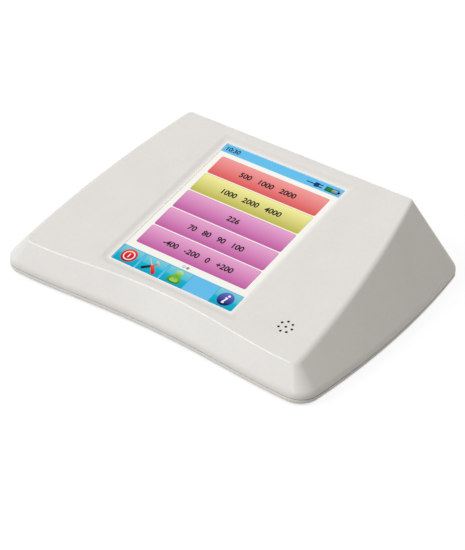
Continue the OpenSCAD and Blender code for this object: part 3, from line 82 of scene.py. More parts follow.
# Rounded edges as steps of height and inset: both lips of the seam, and the base's lower edge
SEAM_ROUND = [(0, 0.3), (0.1, 0.09), (0.3, 0)]
RIM_ROUND = [(0, RIM_SOFT), (0.2, 0.7), (0.6, 0.25), (RIM_SOFT, 0)]

# Heights between which a shell's faces are inside the seam, where they get painted shade
UPPER_SEAM = SEAM_Z - 0.05, SEAM_Z + SEAM_GAP + 0.02
LOWER_SEAM = SEAM_Z - 0.04, SEAM_Z + 0.05

# The window, the dish around it, and the pocket behind it that holds the display
WINDOW_W, WINDOW_H, WINDOW_R = 86.8, 115.6, 1
RIM_SIDE, RIM_TOP, RIM_BOTTOM, RIM_R = 6.4, 7.2, 4.8, 7.5
RIM_DEPTH, DISH_DEPTH, DISH_EASE, LIP_T, GLASS_GAP = 0.9, 0.65, 1.4, 0.6, 0.2
DISH_STEPS, DISH_END, DISH_EDGE = 17, 0.98, (1.03, 0.05)
POCKET_W, POCKET_H, POCKET_R, POCKET_UP = 97.6, 126.6, 1.2, 1.5

# Painted light from the screen in the thin lip around it: how much lighter, how far out and how it
# fades. The rest of the dish has painted shade, a little darker than the face. That ends between two
# distances.
LIP_PAINTED_GLOW, LIP_REACH, LIP_FADE = 1.09, 3.6, 1.5
DISH_PAINTED_SHADE, DISH_SHADE_NEAR, DISH_SHADE_FAR = 0.98, RIM_SIDE - 1.6, RIM_SIDE - 0.2

# The socket panel's recess, the battery bay with its door and lead slot, and the sound holes
RECESS_W, RECESS_Z, RECESS_H, PANEL_INSET, LINER = 132, 9.5, 24.496, 13.75, 2.2
PANEL_TOP, PANEL_Y = RECESS_Z + RECESS_H, BASE_DEPTH/2 - PANEL_INSET
BAY_Y, BAY_W, BAY_L, BAY_TOP, BAY_WALL = -40.9, 38.4, 67.8, 23.4, 1.6
BAY_X = sum(end[0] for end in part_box("battery_door"))/2/MM - BAY_W/2
DOOR_OVER, DOOR_REBATE, DOOR_SCREW_OUT = 10.5, 2.6, 6.5
LEAD_SLOT_Y, LEAD_SLOT_Z, LEAD_SLOT = -26, 11.6, 4
SPEAKER = (76.75, -52)
HOLE_R, HOLE_RING, HOLES, HOLE_STEPS = 0.79, 4.05, 7, 24

# Where the screws and feet are: across and along the base, across and up the rear panel,
# and across and up the control face
CASE_X, FOOT_X = BASE_FRONT/2 - 8.5, BASE_FRONT/2 - 22.5
CASE_SCREWS = [(x, y) for x in (-CASE_X, CASE_X) for y in (-57, 58)]
BOARD_SCREWS = [(x, y) for x in (-42, 42) for y in (-54, -8, 36)]
BRACKET_SCREWS = [(x, y) for x in (65.5, 86.5) for y in (4, 35)]
DOOR_SCREWS = [(BAY_X + BAY_W/2, BAY_Y - DOOR_SCREW_OUT),
               (BAY_X + BAY_W/2, BAY_Y + BAY_L + DOOR_SCREW_OUT)]
FEET = [(x, y) for x in (-FOOT_X, FOOT_X) for y in (-62, 62)]
PANEL_SCREWS = [(x, z) for x in (-71, 71) for z in (12.5, PANEL_TOP - 4)]
CARRIER_SCREWS = [(x, v) for x in (-53.5, 53.5) for v in (-50, 50)]
SPEAKER_SCREWS = [(SPEAKER[0] + dx, SPEAKER[1]) for dx in (-14.1, 14.1)]

# Bosses and bores of the upper shell. Three numbers are a radius and both ends, two are the ends.
CASE_BOSS_R, CASE_BOSS_LOW = 4, 9
PANEL_BOSS_R, PANEL_BORE_DEPTH = 3, 4
CARRIER_BOSS, SPEAKER_BOSS = (3, -9.3, 0), (2.3, -7.6, 0)
INSERT_BORE, SCREW_BORE_R = (2.32, 8, 14), 1.1
CARRIER_BORE, SPEAKER_BORE = (-10.3, -5.3), (-8.6, -4.1)

# How far a cut runs past the surface that it opens, and where a cut from below then starts.
# The inner form follows the wall at shares of its thickness, at the band and on the face.
PAST = 1
UNDER = STAND - PAST
INNER_BAND, INNER_FACE, FITTINGS_LOW, WINDOW_BACK = 0.25, 0.58, SEAM_Z + 0.5, -WALL - 0.5

# The cloth in a sound hole, whose dark colour stands in as painted shade there: a little narrower
# than the hole, as depth and share of its width
CLOTH_GAP, CLOTH_RINGS, CLOTH_TOP = 0.01, ((-WALL, 1), (-0.2, 1), (-0.12, 0.6)), -0.1

# Posts and bores of the base: radius, low end and high end
CASE_POST, BOARD_POST, BRACKET_POST = (4.5, 2.5, 9), (3.2, 2.5, 8.5), (3.2, 2.5, 7.506)
DOOR_POST, BAY_LOW = (3.2, 2.5, 11), 2.5
CASE_HEAD, CASE_SHANK, DOOR_THREAD = (3.15, UNDER, 6.5), (1.7, UNDER, 9.5), (1.35, UNDER, 8.5)
FOOT_SEAT, FOOT_STEPS, POST_THREAD = (7.1, UNDER, 2.3), 48, (1.35, 3.5, 9.5)

TILT = math.asin((RIDGE_H - CREASE_H)/FACE_LEN)
SIN, COS = math.sin(TILT), math.cos(TILT)
FACE_Y = BASE_DEPTH/2 - RIDGE_SETBACK - DISPLAY_FROM_RIDGE*COS
FACE_Z = RIDGE_H - DISPLAY_FROM_RIDGE*SIN
CREASE_V = DISPLAY_FROM_RIDGE - FACE_LEN
NORMAL = np.array([0, -SIN, COS])

# Steps along the right half of an outline, up the wall, and around a hole, post or dish corner
FRONT_STEPS, CORNER_STEPS, SIDE_STEPS, REAR_STEPS = 48, 16, 40, 12
ROLL_STEPS, WALL_STEPS, EDGE_STEPS = 8, 8, 12
ROUND_STEPS, DISH_CORNER_STEPS, END_STEPS = 32, 10, 8

# How far back the side's edge starts to turn into the ridge's, and the pull that makes a curve
# close to a quarter circle
RIDGE_SOFT_FROM, CIRCLE_K = 0.6, 0.5523

# The lit picture. It runs a little under the lip. Its films lie in layers, and the names from
# PAGE to TOP are the heights of their upper faces above the glass.
GLASS, UNDER_LIP = -(RIM_DEPTH + LIP_T + GLASS_GAP), 0.6
PICTURE_W, PICTURE_H = WINDOW_W + UNDER_LIP, WINDOW_H + UNDER_LIP
FILM_T, DOT_PITCH, DOT_DARK, PLAIN_SHADE = 0.03, 0.18, 0.97, 0.985
PAGE, STRIP, BAR, CLOCK, NUMBERS, TILE = 0.03, 0.05, 0.07, 0.075, 0.085, 0.09
DISC, MARK, BLADE, OVER, TOP = 0.11, 0.125, 0.13, 0.14, 0.155
TEXT_T, TEXT_BOLD, TEXT_STEPS, BAR_TEXT, CLOCK_TEXT, TEXT_DROP = 0.012, 0.15, 6, 5.7, 4.8, 0.2

# Where things are in the picture, across or up the face from its middle: the strips at the top and
# bottom, the five bars, the tiles with their marks, and the battery's charge
STATUS_LOW, TOOLS_HIGH = 50.8, -43.9
BAR_X, BAR_HIGH, BAR_PITCH, BAR_H, BAR_R, BAR_RIM = 39.5, 47.1, 17.4, 16.6, 1.3, 0.35
TILE_LOW, TILE_FACE_LOW, TILE_SPLIT, TILE_FACE_HIGH, TILE_HIGH = -57.4, -57.1, -50.7, -44.4, -44.1
TILE_ENDS, TILE_RIM = [(-43.1, -27.3), (-26.2, -10.0), (-8.8, 7.5), (26.3, 42.9)], 0.35
MARK_X, MARK_V, DOTS_V = (-35.2, -18.1, -0.6, 34.4), -50.6, -41.7
BATTERY_LOW, BATTERY_HIGH = 52.7, 55.4

# The bars: numbers, light and dark end of the shade, rim
RED = [(243, 160, 158), (222, 88, 88), (232, 120, 120)]
YELLOW = [(246, 240, 160), (188, 183, 80), (206, 202, 100)]
PINK = [(232, 166, 208), (192, 92, 162), (205, 122, 178)]
BARS = [("500   1000   2000", *RED), ("1000   2000   4000", *YELLOW), ("226", *PINK),
        ("70   80   90   100", *PINK), ("-400   -200   0   +200", *PINK)]

# Width of the rounding on the frame's own solids that show, and the angles and the distance
# that tell an edge, a flat and a double point
BEVELS = {"rear_panel": 0.3, "battery_door": 0.25, "rubber_feet": 0.4, "case_screws": 0.1,
          "door_screws": 0.1, "small_screws": 0.08, "probe_socket": 0.15, "probe_socket_insert": 0.08,
          "air_outlet": 0.12, "phone_sockets": 0.15, "phone_socket_nuts": 0.1, "usb_shell": 0.06,
          "usb_insert": 0.06, "power_inlet": 0.15, "power_inlet_pin": 0.12}
BUTTON_BEVEL, SHARP, FLAT, WELD = 0.35, math.radians(30), math.radians(0.5), 1e-6

# The room, and the lamps: name, direction from the object, tint, strength and angle
ROOM_TINT, ROOM_LEVEL = (1.026, 1, 0.955), 0.48
LAMPS = [("key", (-0.5, -0.6, 0.63), (0.97, 1, 1.05), 0.53, 25),
         ("front", (0.1, -0.96, 0.26), (0.98, 1, 1.04), 0.12, 15),
         ("rim", (-0.35, 0.83, 0.43), (1, 1, 1), 0.08, 12)]

# The floor: half its width, what it throws back on the object, the tone that the camera sees,
# and how the painted shadow under the rim runs, from close to open, within a reach
FLOOR_HALF, FLOOR_BOUNCE, FLOOR_TONE = 4000, (0.25, 0.24, 0.215, 1), (0.13, 0.13, 0.13, 1)
SHADE_REACH, SHADE_CLOSE, SHADE_OPEN, SHADE_FULL = 4, 0.36, 0.9, 0.4

# The camera: angles in degrees, focal length in pixels of the photograph's height, and distance
AZIMUTH, ELEVATION, ROLL = 35.56, 34.98, 1.64
FOCAL_PX, FRAME_H_PX, DISTANCE, AIM, SENSOR = 1784, 550, 1025, (20.3, -27.2, 21.5), 36
CLIP_NEAR, CLIP_FAR = 0.01, 50


def on_face(x, v, n):
    """The place in the part's frame of a point given on the control face."""
    return [x, FACE_Y + v*COS - n*SIN, FACE_Z + v*SIN + n*COS]


# Outlines and rings

def arch(x, rise, half):
    """How far the front edge bows in at x, with its rise in the middle."""
    return rise*(1 - (x/half)**2)**2 if abs(x) < half else 0.0


def corner(a, c, b):
    """A rounded corner from a to b, with the sharp corner at c."""
    a, c, b = np.array(a), np.array(c), np.array(b)
    p, q = a + (c - a)*CIRCLE_K, b + (c - b)*CIRCLE_K
    return [a*(1 - t)**3 + 3*p*t*(1 - t)**2 + 3*q*t*t*(1 - t) + b*t**3
            for t in np.linspace(0, 1, CORNER_STEPS + 1)]


def outline(front, rear, depth, bow, rise, half, front_r, rear_r):
    """A body outline around its middle line, from the middle of the front edge."""
    def side(t):
        return front/2 + (rear - front)/2*t + 4*bow*t*(1 - t), depth*t
    t0, t1 = front_r/depth, 1 - rear_r/depth
    x0, x1 = front/2 - front_r, rear/2 - rear_r
    points = [(x0*i/FRONT_STEPS, arch(x0*i/FRONT_STEPS, rise, half)) for i in range(FRONT_STEPS)]
    points += corner((x0, arch(x0, rise, half)), (front/2, 0), side(t0))
    points += [side(t0 + (t1 - t0)*i/SIDE_STEPS) for i in range(1, SIDE_STEPS)]
    points += corner(side(t1), (rear/2, depth), (x1, depth))
    points += [(x1*(1 - i/REAR_STEPS), depth) for i in range(1, REAR_STEPS + 1)]
    half_ring = np.array(points, float)
    return np.vstack([half_ring, half_ring[-2:0:-1]*[-1, 1]])


def base_ring(z, inset):
    """Outline of the base at a height, drawn inwards by inset."""
    p = outline(BASE_FRONT - 2*inset, BASE_REAR - 2*inset, BASE_DEPTH - 2*inset, BASE_BOW, BASE_ARCH,
                BASE_FRONT/2 - BASE_FRONT_R - BASE_ARCH_IN - inset,
                max(BASE_FRONT_R - inset, LOWEST_R), max(BASE_REAR_R - inset, LOWEST_R))
    return np.column_stack([p[:, 0], p[:, 1] - BASE_DEPTH/2 + inset, np.full(len(p), float(z))])


def face_ring(sink, inset):
    """Outline of the control face, sunk below it and drawn inwards by inset."""
    p = outline(FACE_FRONT - 2*inset, FACE_REAR - 2*inset, FACE_LEN - 2*inset, FACE_BOW, CREASE_ARCH,
                FACE_FRONT/2 - FACE_FRONT_R - FACE_ARCH_IN - inset,
                max(FACE_FRONT_R - inset, LOWEST_R), max(FACE_REAR_R - inset, LOWEST_R))
    return np.array([on_face(x, y + CREASE_V + inset, -sink) for x, y in p])


def unit(v):
    return v/np.linalg.norm(v, axis=-1, keepdims=True)


def bend(a, c, b, t):
    """The point at t, from 0 to 1, on a curve from a to b with the sharp corner at c."""
    return a*(1 - t)**2 + 2*c*t*(1 - t) + b*t*t


def softness():
    """Softness of the face's edge at each point of an outline."""
    half = [CREASE_SOFT]*FRONT_STEPS
    half += [CREASE_SOFT + (SIDE_SOFT - CREASE_SOFT)*i/CORNER_STEPS for i in range(CORNER_STEPS + 1)]
    half += [SIDE_SOFT + (RIDGE_SOFT - SIDE_SOFT)
             * max(0, (i/SIDE_STEPS - RIDGE_SOFT_FROM)/(1 - RIDGE_SOFT_FROM))
             for i in range(1, SIDE_STEPS)]
    half += [RIDGE_SOFT]*(CORNER_STEPS + REAR_STEPS + 1)
    return np.array(half + half[-2:0:-1])[:, None]


def skin_rings():
    """Rings of the outer surface, from the seam up to the flat of the face."""
    b, t, s = base_ring(BAND_Z, 0), face_ring(0, 0), softness()
    up = unit(t - b)
    inward = unit(np.cross(NORMAL, np.roll(t, -1, 0) - np.roll(t, 1, 0)))
    lip = SEAM_Z + SEAM_GAP
    rings = [base_ring(SEAM_Z, SEAM_DEPTH), base_ring(lip, SEAM_DEPTH)]
    rings += [base_ring(lip + rise, inset) for rise, inset in SEAM_ROUND]
    low, high = b + up*ROLL_SOFT, t - up*s
    rings += [bend(b - [0, 0, ROLL_SOFT], b, low, k/ROLL_STEPS) for k in range(ROLL_STEPS + 1)]
    rings += [low + (high - low)*k/WALL_STEPS for k in range(1, WALL_STEPS)]
    rings += [bend(high, t, t + inward*s, k/EDGE_STEPS) for k in range(EDGE_STEPS + 1)]
    return rings


def rounded(w, h, r, steps=6, cx=0.0, cy=0.0):
    """A rectangle with rounded corners, as points in its own plane."""
    points = []
    for sx, sy, start in ((1, -1, 270), (1, 1, 0), (-1, 1, 90), (-1, -1, 180)):
        for k in range(steps + 1):
            a = math.radians(start + 90*k/steps)
            points.append((cx + sx*(w/2 - r) + r*math.cos(a), cy + sy*(h/2 - r) + r*math.sin(a)))
    return points


def circle(r, steps=ROUND_STEPS, cx=0.0, cy=0.0):
    return [(cx + r*math.cos(2*math.pi*k/steps), cy + r*math.sin(2*math.pi*k/steps))
            for k in range(steps)]


def dish_ring(t, n):
    """Outline of the dish around the window, at a share of its width outwards."""
    flat = rounded(WINDOW_W + 2*RIM_SIDE*t, WINDOW_H + (RIM_TOP + RIM_BOTTOM)*t,
                   WINDOW_R + (RIM_R - WINDOW_R)*t, DISH_CORNER_STEPS,
                   cy=(RIM_TOP - RIM_BOTTOM)/2*t)
    return np.array([on_face(x, v, n) for x, v in flat])


def dish_level(t):
    """Height of the dish at a share of its width, level at both ends."""
    u = t**DISH_EASE
    return -DISH_DEPTH*(1 - u*u*(3 - 2*u))


SOUND_HOLES = [SPEAKER] + circle(HOLE_RING, HOLES, *SPEAKER)


# Meshes

def mesh_object(name, points, faces):
    mesh = bpy.data.meshes.new(name)
    mesh.from_pydata((np.asarray(points, float)*MM).tolist(), [], faces)
    mesh.update()
    obj = bpy.data.objects.new(name, mesh)
    bpy.context.scene.collection.objects.link(obj)
    return obj


def band(low, high, n):
    """Faces between two rings of n points each, whose first points have the numbers low and high."""
    return [[low + i, low + (i + 1) % n, high + (i + 1) % n, high + i] for i in range(n)]


def loft(name, rings):
    """A closed solid through a stack of rings with the same number of points."""
    n, m = len(rings[0]), len(rings)
    faces = [list(range(n))[::-1], [(m - 1)*n + i for i in range(n)]]
    for k in range(m - 1):
        faces += band(k*n, (k + 1)*n, n)
    obj = mesh_object(name, np.vstack(rings), faces)
    outward(obj)
    return obj


def outward(obj):
    """Turns all the faces of a closed solid outwards."""
    bm = bmesh.new()
    bm.from_mesh(obj.data)
    bmesh.ops.recalc_face_normals(bm, faces=bm.faces)
    bm.to_mesh(obj.data)
    bm.free()


def prism(name, flat, place, low, high):
    """A closed solid from a flat outline, with place(x, y, level) giving its points."""
    return loft(name, [np.array([place(x, y, level) for x, y in flat]) for level in (low, high)])


def upright(x, y, z):
    return [x, y, z]


def to_rear(x, z, y):
    return [x, y, z]


def box(name, low, size):
    (x, y, z), (w, d, h) = low, size
    return prism(name, [(x, y), (x + w, y), (x + w, y + d), (x, y + d)], upright, z, z + h)


def posts_at(places, r, low, high, steps=ROUND_STEPS, place=upright):
    """Round posts or bores at some places, along the direction that place gives."""
    return [prism("post", circle(r, steps, a, b), place, low, high) for a, b in places]


def combine(body, operation, tools):
    """Adds tools to a body or cuts them from it, one at a time."""
    for tool in tools:
        modifier = body.modifiers.new("shape", "BOOLEAN")
        modifier.operation, modifier.object, modifier.solver = operation, tool, "MANIFOLD"
        shaped = bpy.data.meshes.new_from_object(
            body.evaluated_get(bpy.context.evaluated_depsgraph_get()))
        body.modifiers.remove(modifier)
        old, body.data = body.data, shaped
        bpy.data.meshes.remove(old)
        bpy.data.objects.remove(tool)
    return body


def smooth(obj, bevel=0.0):
    """Rounds the hard edges a little and shades the rest evenly."""
    obj.data.shade_smooth()
    obj.data.set_sharp_from_angle(angle=SHARP)
    if bevel:
        modifier = obj.modifiers.new("edges", "BEVEL")
        modifier.width, modifier.segments = bevel*MM, 2
        modifier.limit_method, modifier.angle_limit = "ANGLE", SHARP
    modifier = obj.modifiers.new("shading", "WEIGHTED_NORMAL")
    modifier.keep_sharp = True
    return obj


def dress(obj, body, slot, material, *replaced):
    """Gives an object its material and body, and hides the frame solids it stands for. The slot is not
    used.
    """
    obj.data.materials.clear()
    obj.data.materials.append(material)
    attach(obj, body)
    if replaced:
        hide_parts(*replaced)
    return obj


# Materials

def srgb(*levels):
    """A display colour, 0 to 255, in the renderer's linear values."""
    return tuple((c/255/12.92 if c <= 10 else ((c/255 + 0.055)/1.055)**2.4) for c in levels) + (1.0,)


def toned(level, factor):
    """A colour made lighter or darker by a factor."""
    return srgb(*(min(255, c*factor) for c in level))


class Surface:
    """A material put together from a few procedural layers."""

    def __init__(self, name, rough, metallic=0.0, specular=0.5, **sockets):
        self.material = bpy.data.materials.new(name)
        self.material.use_nodes = True
        self.nodes, self.links = self.material.node_tree.nodes, self.material.node_tree.links
        self.shader = self.nodes["Principled BSDF"]
        self.shader.inputs["Roughness"].default_value = rough
        self.shader.inputs["Metallic"].default_value = metallic
        self.shader.inputs["Specular IOR Level"].default_value = specular
        for key, value in sockets.items():
            self.shader.inputs[key.replace("_", " ")].default_value = value
        self.place = self.nodes.new("ShaderNodeTexCoord").outputs["Object"]
        self.rough = rough

    def node(self, kind, settings=(), **values):
        """A new node. Values are set or linked by socket name, or by number after an underscore."""
        node = self.nodes.new(kind)
        for key, value in dict(settings).items():
            setattr(node, key, value)
        for key, value in values.items():
            socket = node.inputs[int(key[1:])] if key[0] == "_" else node.inputs[key.replace("_", " ")]
            if isinstance(value, bpy.types.NodeSocket):
                self.links.new(value, socket)
            else:
                socket.default_value = value
        return node

    def noise(self, scale, detail, stretch=None, rough=0.5):
        place = self.place
        if stretch:
            place = self.node("ShaderNodeMapping", Vector=place, Scale=stretch).outputs[0]
        return self.node("ShaderNodeTexNoise", Vector=place, Scale=scale, Detail=detail,
                         Roughness=rough).outputs[0]

    def mapped(self, value, low, high, from_low=0.3, from_high=0.7):
        return self.node("ShaderNodeMapRange", _0=value, _1=from_low, _2=from_high, _3=low,
                         _4=high).outputs[0]

    def math(self, operation, *values):
        sockets = {f"_{i}": value for i, value in enumerate(values)}
        return self.node("ShaderNodeMath", {"operation": operation}, **sockets).outputs[0]

    def mix(self, factor, a, b):
        return self.node("ShaderNodeMix", {"data_type": "RGBA"}, _0=factor, _6=a, _7=b).outputs[2]

    def colour(self, a, b, factor):
        self.links.new(self.mix(factor, a, b), self.shader.inputs["Base Color"])
        return self

    def gloss(self, factor, spread):
        low, high = self.rough - spread, self.rough + spread
        self.links.new(self.mapped(factor, low, high), self.shader.inputs["Roughness"])
        return self

    def relief(self, height, depth):
        bump = self.node("ShaderNodeBump", Height=height, Distance=depth*MM)
        self.links.new(bump.outputs[0], self.shader.inputs["Normal"])
        return self


def moulded(name, level, rough, grain=1400, depth=0.02, spread=0.02, lip=False, **more):
    """Moulded plastic: faint flow marks and specks in the colour, and a fine spark-eroded grain."""
    s = Surface(name, rough, **more)
    marks = s.math("ADD", s.noise(45, 3), s.noise(620, 2))
    tone = s.mix(s.mapped(marks, 0, 1, 0.7, 1.3), toned(level, 1 - spread), toned(level, 1 + spread))
    # With lip, the colour gets painted light on the thin lip around the window and painted shade on
    # the dish
    if lip:
        glow, dish = around_window(s)
        tone = s.mix(dish, tone, toned(level, DISH_PAINTED_SHADE))
        tone = s.mix(glow, tone, toned(level, LIP_PAINTED_GLOW))
    s.links.new(tone, s.shader.inputs["Base Color"])
    pits = s.noise(grain, 3, rough=0.6)
    return s.gloss(pits, 0.04).relief(pits, depth).material


def around_window(s):
    """Masks of painted light on the lip around the window and of painted shade on the dish."""
    parts = s.node("ShaderNodeSeparateXYZ", _0=s.place).outputs
    up = s.math("DIVIDE", s.math("SUBTRACT", parts[1], FACE_Y*MM), COS)
    across = s.math("SUBTRACT", s.math("ABSOLUTE", parts[0]), WINDOW_W/2*MM)
    along = s.math("SUBTRACT", s.math("ABSOLUTE", up), WINDOW_H/2*MM)
    away = s.math("MAXIMUM", across, along)
    glow = s.math("POWER", s.mapped(away, 1, 0, 0, LIP_REACH*MM), LIP_FADE)
    return glow, s.mapped(away, 1, 0, DISH_SHADE_NEAR*MM, DISH_SHADE_FAR*MM)


def metal(name, level, rough, stretch=(1, 1, 1), grain=900, spread=0.06, depth=0.01):
    """Metal with a fine drawn or turned finish."""
    s = Surface(name, rough, metallic=1.0)
    lines = s.noise(grain, 5, stretch)
    s.colour(toned(level, 1 - spread), srgb(*level), s.mapped(s.noise(120, 4), 0, 1))
    return s.gloss(lines, 0.07).relief(lines, depth).material


def foam(name, level):
    """Open foam or cloth, full of small cells."""
    s = Surface(name, 0.95, specular=0.1)
    cells = s.node("ShaderNodeTexVoronoi", Vector=s.place, Scale=1800).outputs[0]
    s.colour(toned(level, 0.5), srgb(*level), s.mapped(cells, 0, 1, 0.1, 0.7))
    return s.relief(cells, 0.12).material


def circuit(name, level):
    """Solder mask with the copper tracks faintly raised under it."""
    s = Surface(name, 0.34)
    tracks = s.node("ShaderNodeTexBrick", Vector=s.place, Scale=1, Mortar_Size=0.2*MM,
                    Mortar_Smooth=0.2, Brick_Width=6.2*MM, Row_Height=1.4*MM).outputs[1]
    s.colour(srgb(*level), srgb(*(min(255, c*1.5 + 8) for c in level)), tracks)
    return s.relief(tracks, 0.03).material


def banded(name, level, rough, axis, pitch):
    """Fine parallel bands, as on a winding or along a ribbon's wires."""
    s = Surface(name, rough)
    bands = s.node("ShaderNodeTexWave", {"bands_direction": axis}, Vector=s.place,
                   Scale=2*math.pi/(20*pitch*MM), Distortion=0).outputs[1]
    s.colour(toned(level, 0.7), srgb(*level), bands)
    return s.relief(bands, 0.05).material


def wrap(name, level, rough=0.22, creases=160):
    """Shrink film or hose, smooth with slight creases."""
    s = Surface(name, rough)
    folds = s.noise(creases, 2)
    s.colour(toned(level, 0.9), srgb(*level), s.mapped(folds, 0, 1))
    return s.gloss(folds, 0.05).relief(folds, 0.08).material


def glass(name):
    """The touch panel's glass over a dark screen."""
    s = Surface(name, 0.12)
    haze = s.noise(60, 3)
    s.colour(srgb(16, 18, 20), srgb(24, 26, 28), s.mapped(haze, 0, 1))
    return s.gloss(haze, 0.03).material


def milky(name, level):
    """Clear plastic that lets some light through."""
    s = Surface(name, 0.25, Transmission_Weight=0.6)
    s.colour(toned(level, 0.95), srgb(*level), s.mapped(s.noise(200, 3), 0, 1))
    return s.gloss(s.noise(500, 3), 0.05).material


# Shells

def inner_form(name, depth, z_low):
    """The space inside the upper shell's wall, which is about depth thick everywhere."""
    return loft(name, [base_ring(z_low, depth), base_ring(BAND_Z - INNER_BAND*depth, depth),
                       face_ring(depth, INNER_FACE*depth)])


def top_housing():
    """The upper shell: skin, hollow, recess wall and bosses, then its window, recess and bores."""
    shell = loft("housing_shell", skin_rings())
    combine(shell, "DIFFERENCE", [inner_form("hollow", WALL, SEAM_Z - PAST)])
    fittings = box("fittings", [-RECESS_W/2 - LINER, PANEL_Y, RECESS_Z - LINER],
                   [RECESS_W + 2*LINER, PANEL_INSET, RECESS_H + 2*LINER])
    bosses = posts_at(CASE_SCREWS, CASE_BOSS_R, CASE_BOSS_LOW, RIDGE_H + CASE_BOSS_LOW)
    bosses += posts_at(PANEL_SCREWS, PANEL_BOSS_R, PANEL_Y, PANEL_Y + PANEL_INSET, place=to_rear)
    bosses += posts_at(CARRIER_SCREWS, *CARRIER_BOSS, place=on_face)
    bosses += posts_at(SPEAKER_SCREWS, *SPEAKER_BOSS, place=on_face)
    combine(fittings, "UNION", bosses)
    combine(fittings, "INTERSECT", [inner_form("limit", WALL/2, FITTINGS_LOW)])
    combine(shell, "UNION", [fittings])
    window = [dish_ring(0, WINDOW_BACK)]
    window += [dish_ring(t, dish_level(t)) for t in np.linspace(0, DISH_END, DISH_STEPS)]
    window += [dish_ring(*DISH_EDGE)]
    pocket = rounded(POCKET_W, POCKET_H, POCKET_R, cy=POCKET_UP)
    cuts = [box("recess", [-RECESS_W/2, PANEL_Y - PAST, RECESS_Z],
                [RECESS_W, PANEL_INSET + 2*PAST, RECESS_H]),
            loft("window", window),
            prism("pocket", pocket, on_face, -WALL - PAST, -RIM_DEPTH - LIP_T)]
    cuts += posts_at(SOUND_HOLES, HOLE_R, -WALL - PAST, PAST, HOLE_STEPS, on_face)
    cuts += posts_at(CASE_SCREWS, *INSERT_BORE)
    cuts += posts_at(PANEL_SCREWS, SCREW_BORE_R, PANEL_Y - PAST, PANEL_Y + PANEL_BORE_DEPTH,
                     place=to_rear)
    cuts += posts_at(CARRIER_SCREWS, SCREW_BORE_R, *CARRIER_BORE, place=on_face)
    cuts += posts_at(SPEAKER_SCREWS, SCREW_BORE_R, *SPEAKER_BORE, place=on_face)
    return smooth(combine(shell, "DIFFERENCE", cuts))


def speaker_cloth_and_hole_shade():
    """Dark acoustic cloth, pressed up into the sound holes from behind, its dark colour painted shade
    in them.
    """
    points, faces, steps = [], [], HOLE_STEPS
    for x, v in SOUND_HOLES:
        first, flat = len(points), circle(HOLE_R - CLOTH_GAP, steps, x, v)
        for n, share in CLOTH_RINGS:
            points += [on_face(x + (a - x)*share, v + (b - v)*share, n) for a, b in flat]
        points.append(on_face(x, v, CLOTH_TOP))
        # Numbers of each ring's first point, and of the middle point above the last ring
        starts = [first + steps*k for k in range(len(CLOTH_RINGS) + 1)]
        faces.append([first + i for i in range(steps)][::-1])
        for low, high in zip(starts[:-2], starts[1:-1]):
            faces += band(low, high, steps)
        faces += [[starts[-2] + i, starts[-2] + (i + 1) % steps, starts[-1]] for i in range(steps)]
    obj = mesh_object("speaker_cloth_and_hole_shade", points, faces)
    outward(obj)
    return dress(smooth(obj), "housing", "foam", foam("acoustic_cloth_and_hole_shade", (20, 20, 22)))


def base_shell():
    """The base: rim, tongue, floor, posts and battery bay, then its door seat, slot and bores."""
    side = WALL + TONGUE_GAP
    rings = [base_ring(STAND + rise, inset) for rise, inset in RIM_ROUND]
    rings += [base_ring(SEAM_Z - drop, inset) for drop, inset in SEAM_ROUND[::-1]]
    shell = loft("base_tray", rings)
    combine(shell, "UNION", [loft("tongue", [base_ring(STAND + RIM_SOFT, side),
                                             base_ring(SEAM_Z + TONGUE_H, side)])])
    combine(shell, "DIFFERENCE", [loft("tray", [base_ring(FLOOR_TOP, side + TONGUE_T),
                                                base_ring(BAND_Z + PAST, side + TONGUE_T)])])
    posts = posts_at(CASE_SCREWS, *CASE_POST) + posts_at(BOARD_SCREWS, *BOARD_POST)
    posts += posts_at(BRACKET_SCREWS, *BRACKET_POST)
    posts += [box("bay", [BAY_X - BAY_WALL, BAY_Y - BAY_WALL, BAY_LOW],
                  [BAY_W + 2*BAY_WALL, BAY_L + 2*BAY_WALL, BAY_TOP + BAY_WALL - BAY_LOW])]
    posts += posts_at(DOOR_SCREWS, *DOOR_POST)
    combine(shell, "UNION", posts)
    cuts = [box("bay", [BAY_X, BAY_Y, UNDER], [BAY_W, BAY_L, BAY_TOP - UNDER]),
            box("door", [BAY_X - BAY_WALL, BAY_Y - DOOR_OVER, UNDER],
                [BAY_W + 2*BAY_WALL, BAY_L + 2*DOOR_OVER, DOOR_REBATE]),
            box("slot", [BAY_X + BAY_W - PAST, LEAD_SLOT_Y, LEAD_SLOT_Z],
                [BAY_WALL + 2*PAST, LEAD_SLOT, LEAD_SLOT])]
    cuts += posts_at(DOOR_SCREWS, *DOOR_THREAD)
    cuts += posts_at(CASE_SCREWS, *CASE_HEAD) + posts_at(CASE_SCREWS, *CASE_SHANK)
    cuts += posts_at(FEET, *FOOT_SEAT, FOOT_STEPS)
    cuts += posts_at(BOARD_SCREWS + BRACKET_SCREWS, *POST_THREAD)
    return smooth(combine(shell, "DIFFERENCE", cuts))


def refine(node, bevel, body):
    """A copy of a frame solid with its hard edges rounded, in the solid's place and finish."""
    mesh = nodes[node].data.copy()
    mesh.name = node + "_refined"
    obj = bpy.data.objects.new(node + "_refined", mesh)
    bpy.context.scene.collection.objects.link(obj)
    bm = bmesh.new()
    bm.from_mesh(mesh)
    bmesh.ops.remove_doubles(bm, verts=bm.verts, dist=WELD)
    bmesh.ops.dissolve_limit(bm, angle_limit=FLAT, verts=bm.verts, edges=bm.edges)
    bm.to_mesh(mesh)
    bm.free()
    return dress(smooth(obj, bevel), body, slot_of[node], finish[slot_of[node]], node)


def paint_shade_in_seam(obj, material, low, high):
    """Gives the faces between two heights a darker colour: painted shade inside the seam."""
    obj.data.materials.append(material)
    for face in obj.data.polygons:
        if low < face.center.z/MM < high:
            face.material_index = 1


# The lit picture, drawn in thin films on the touch panel

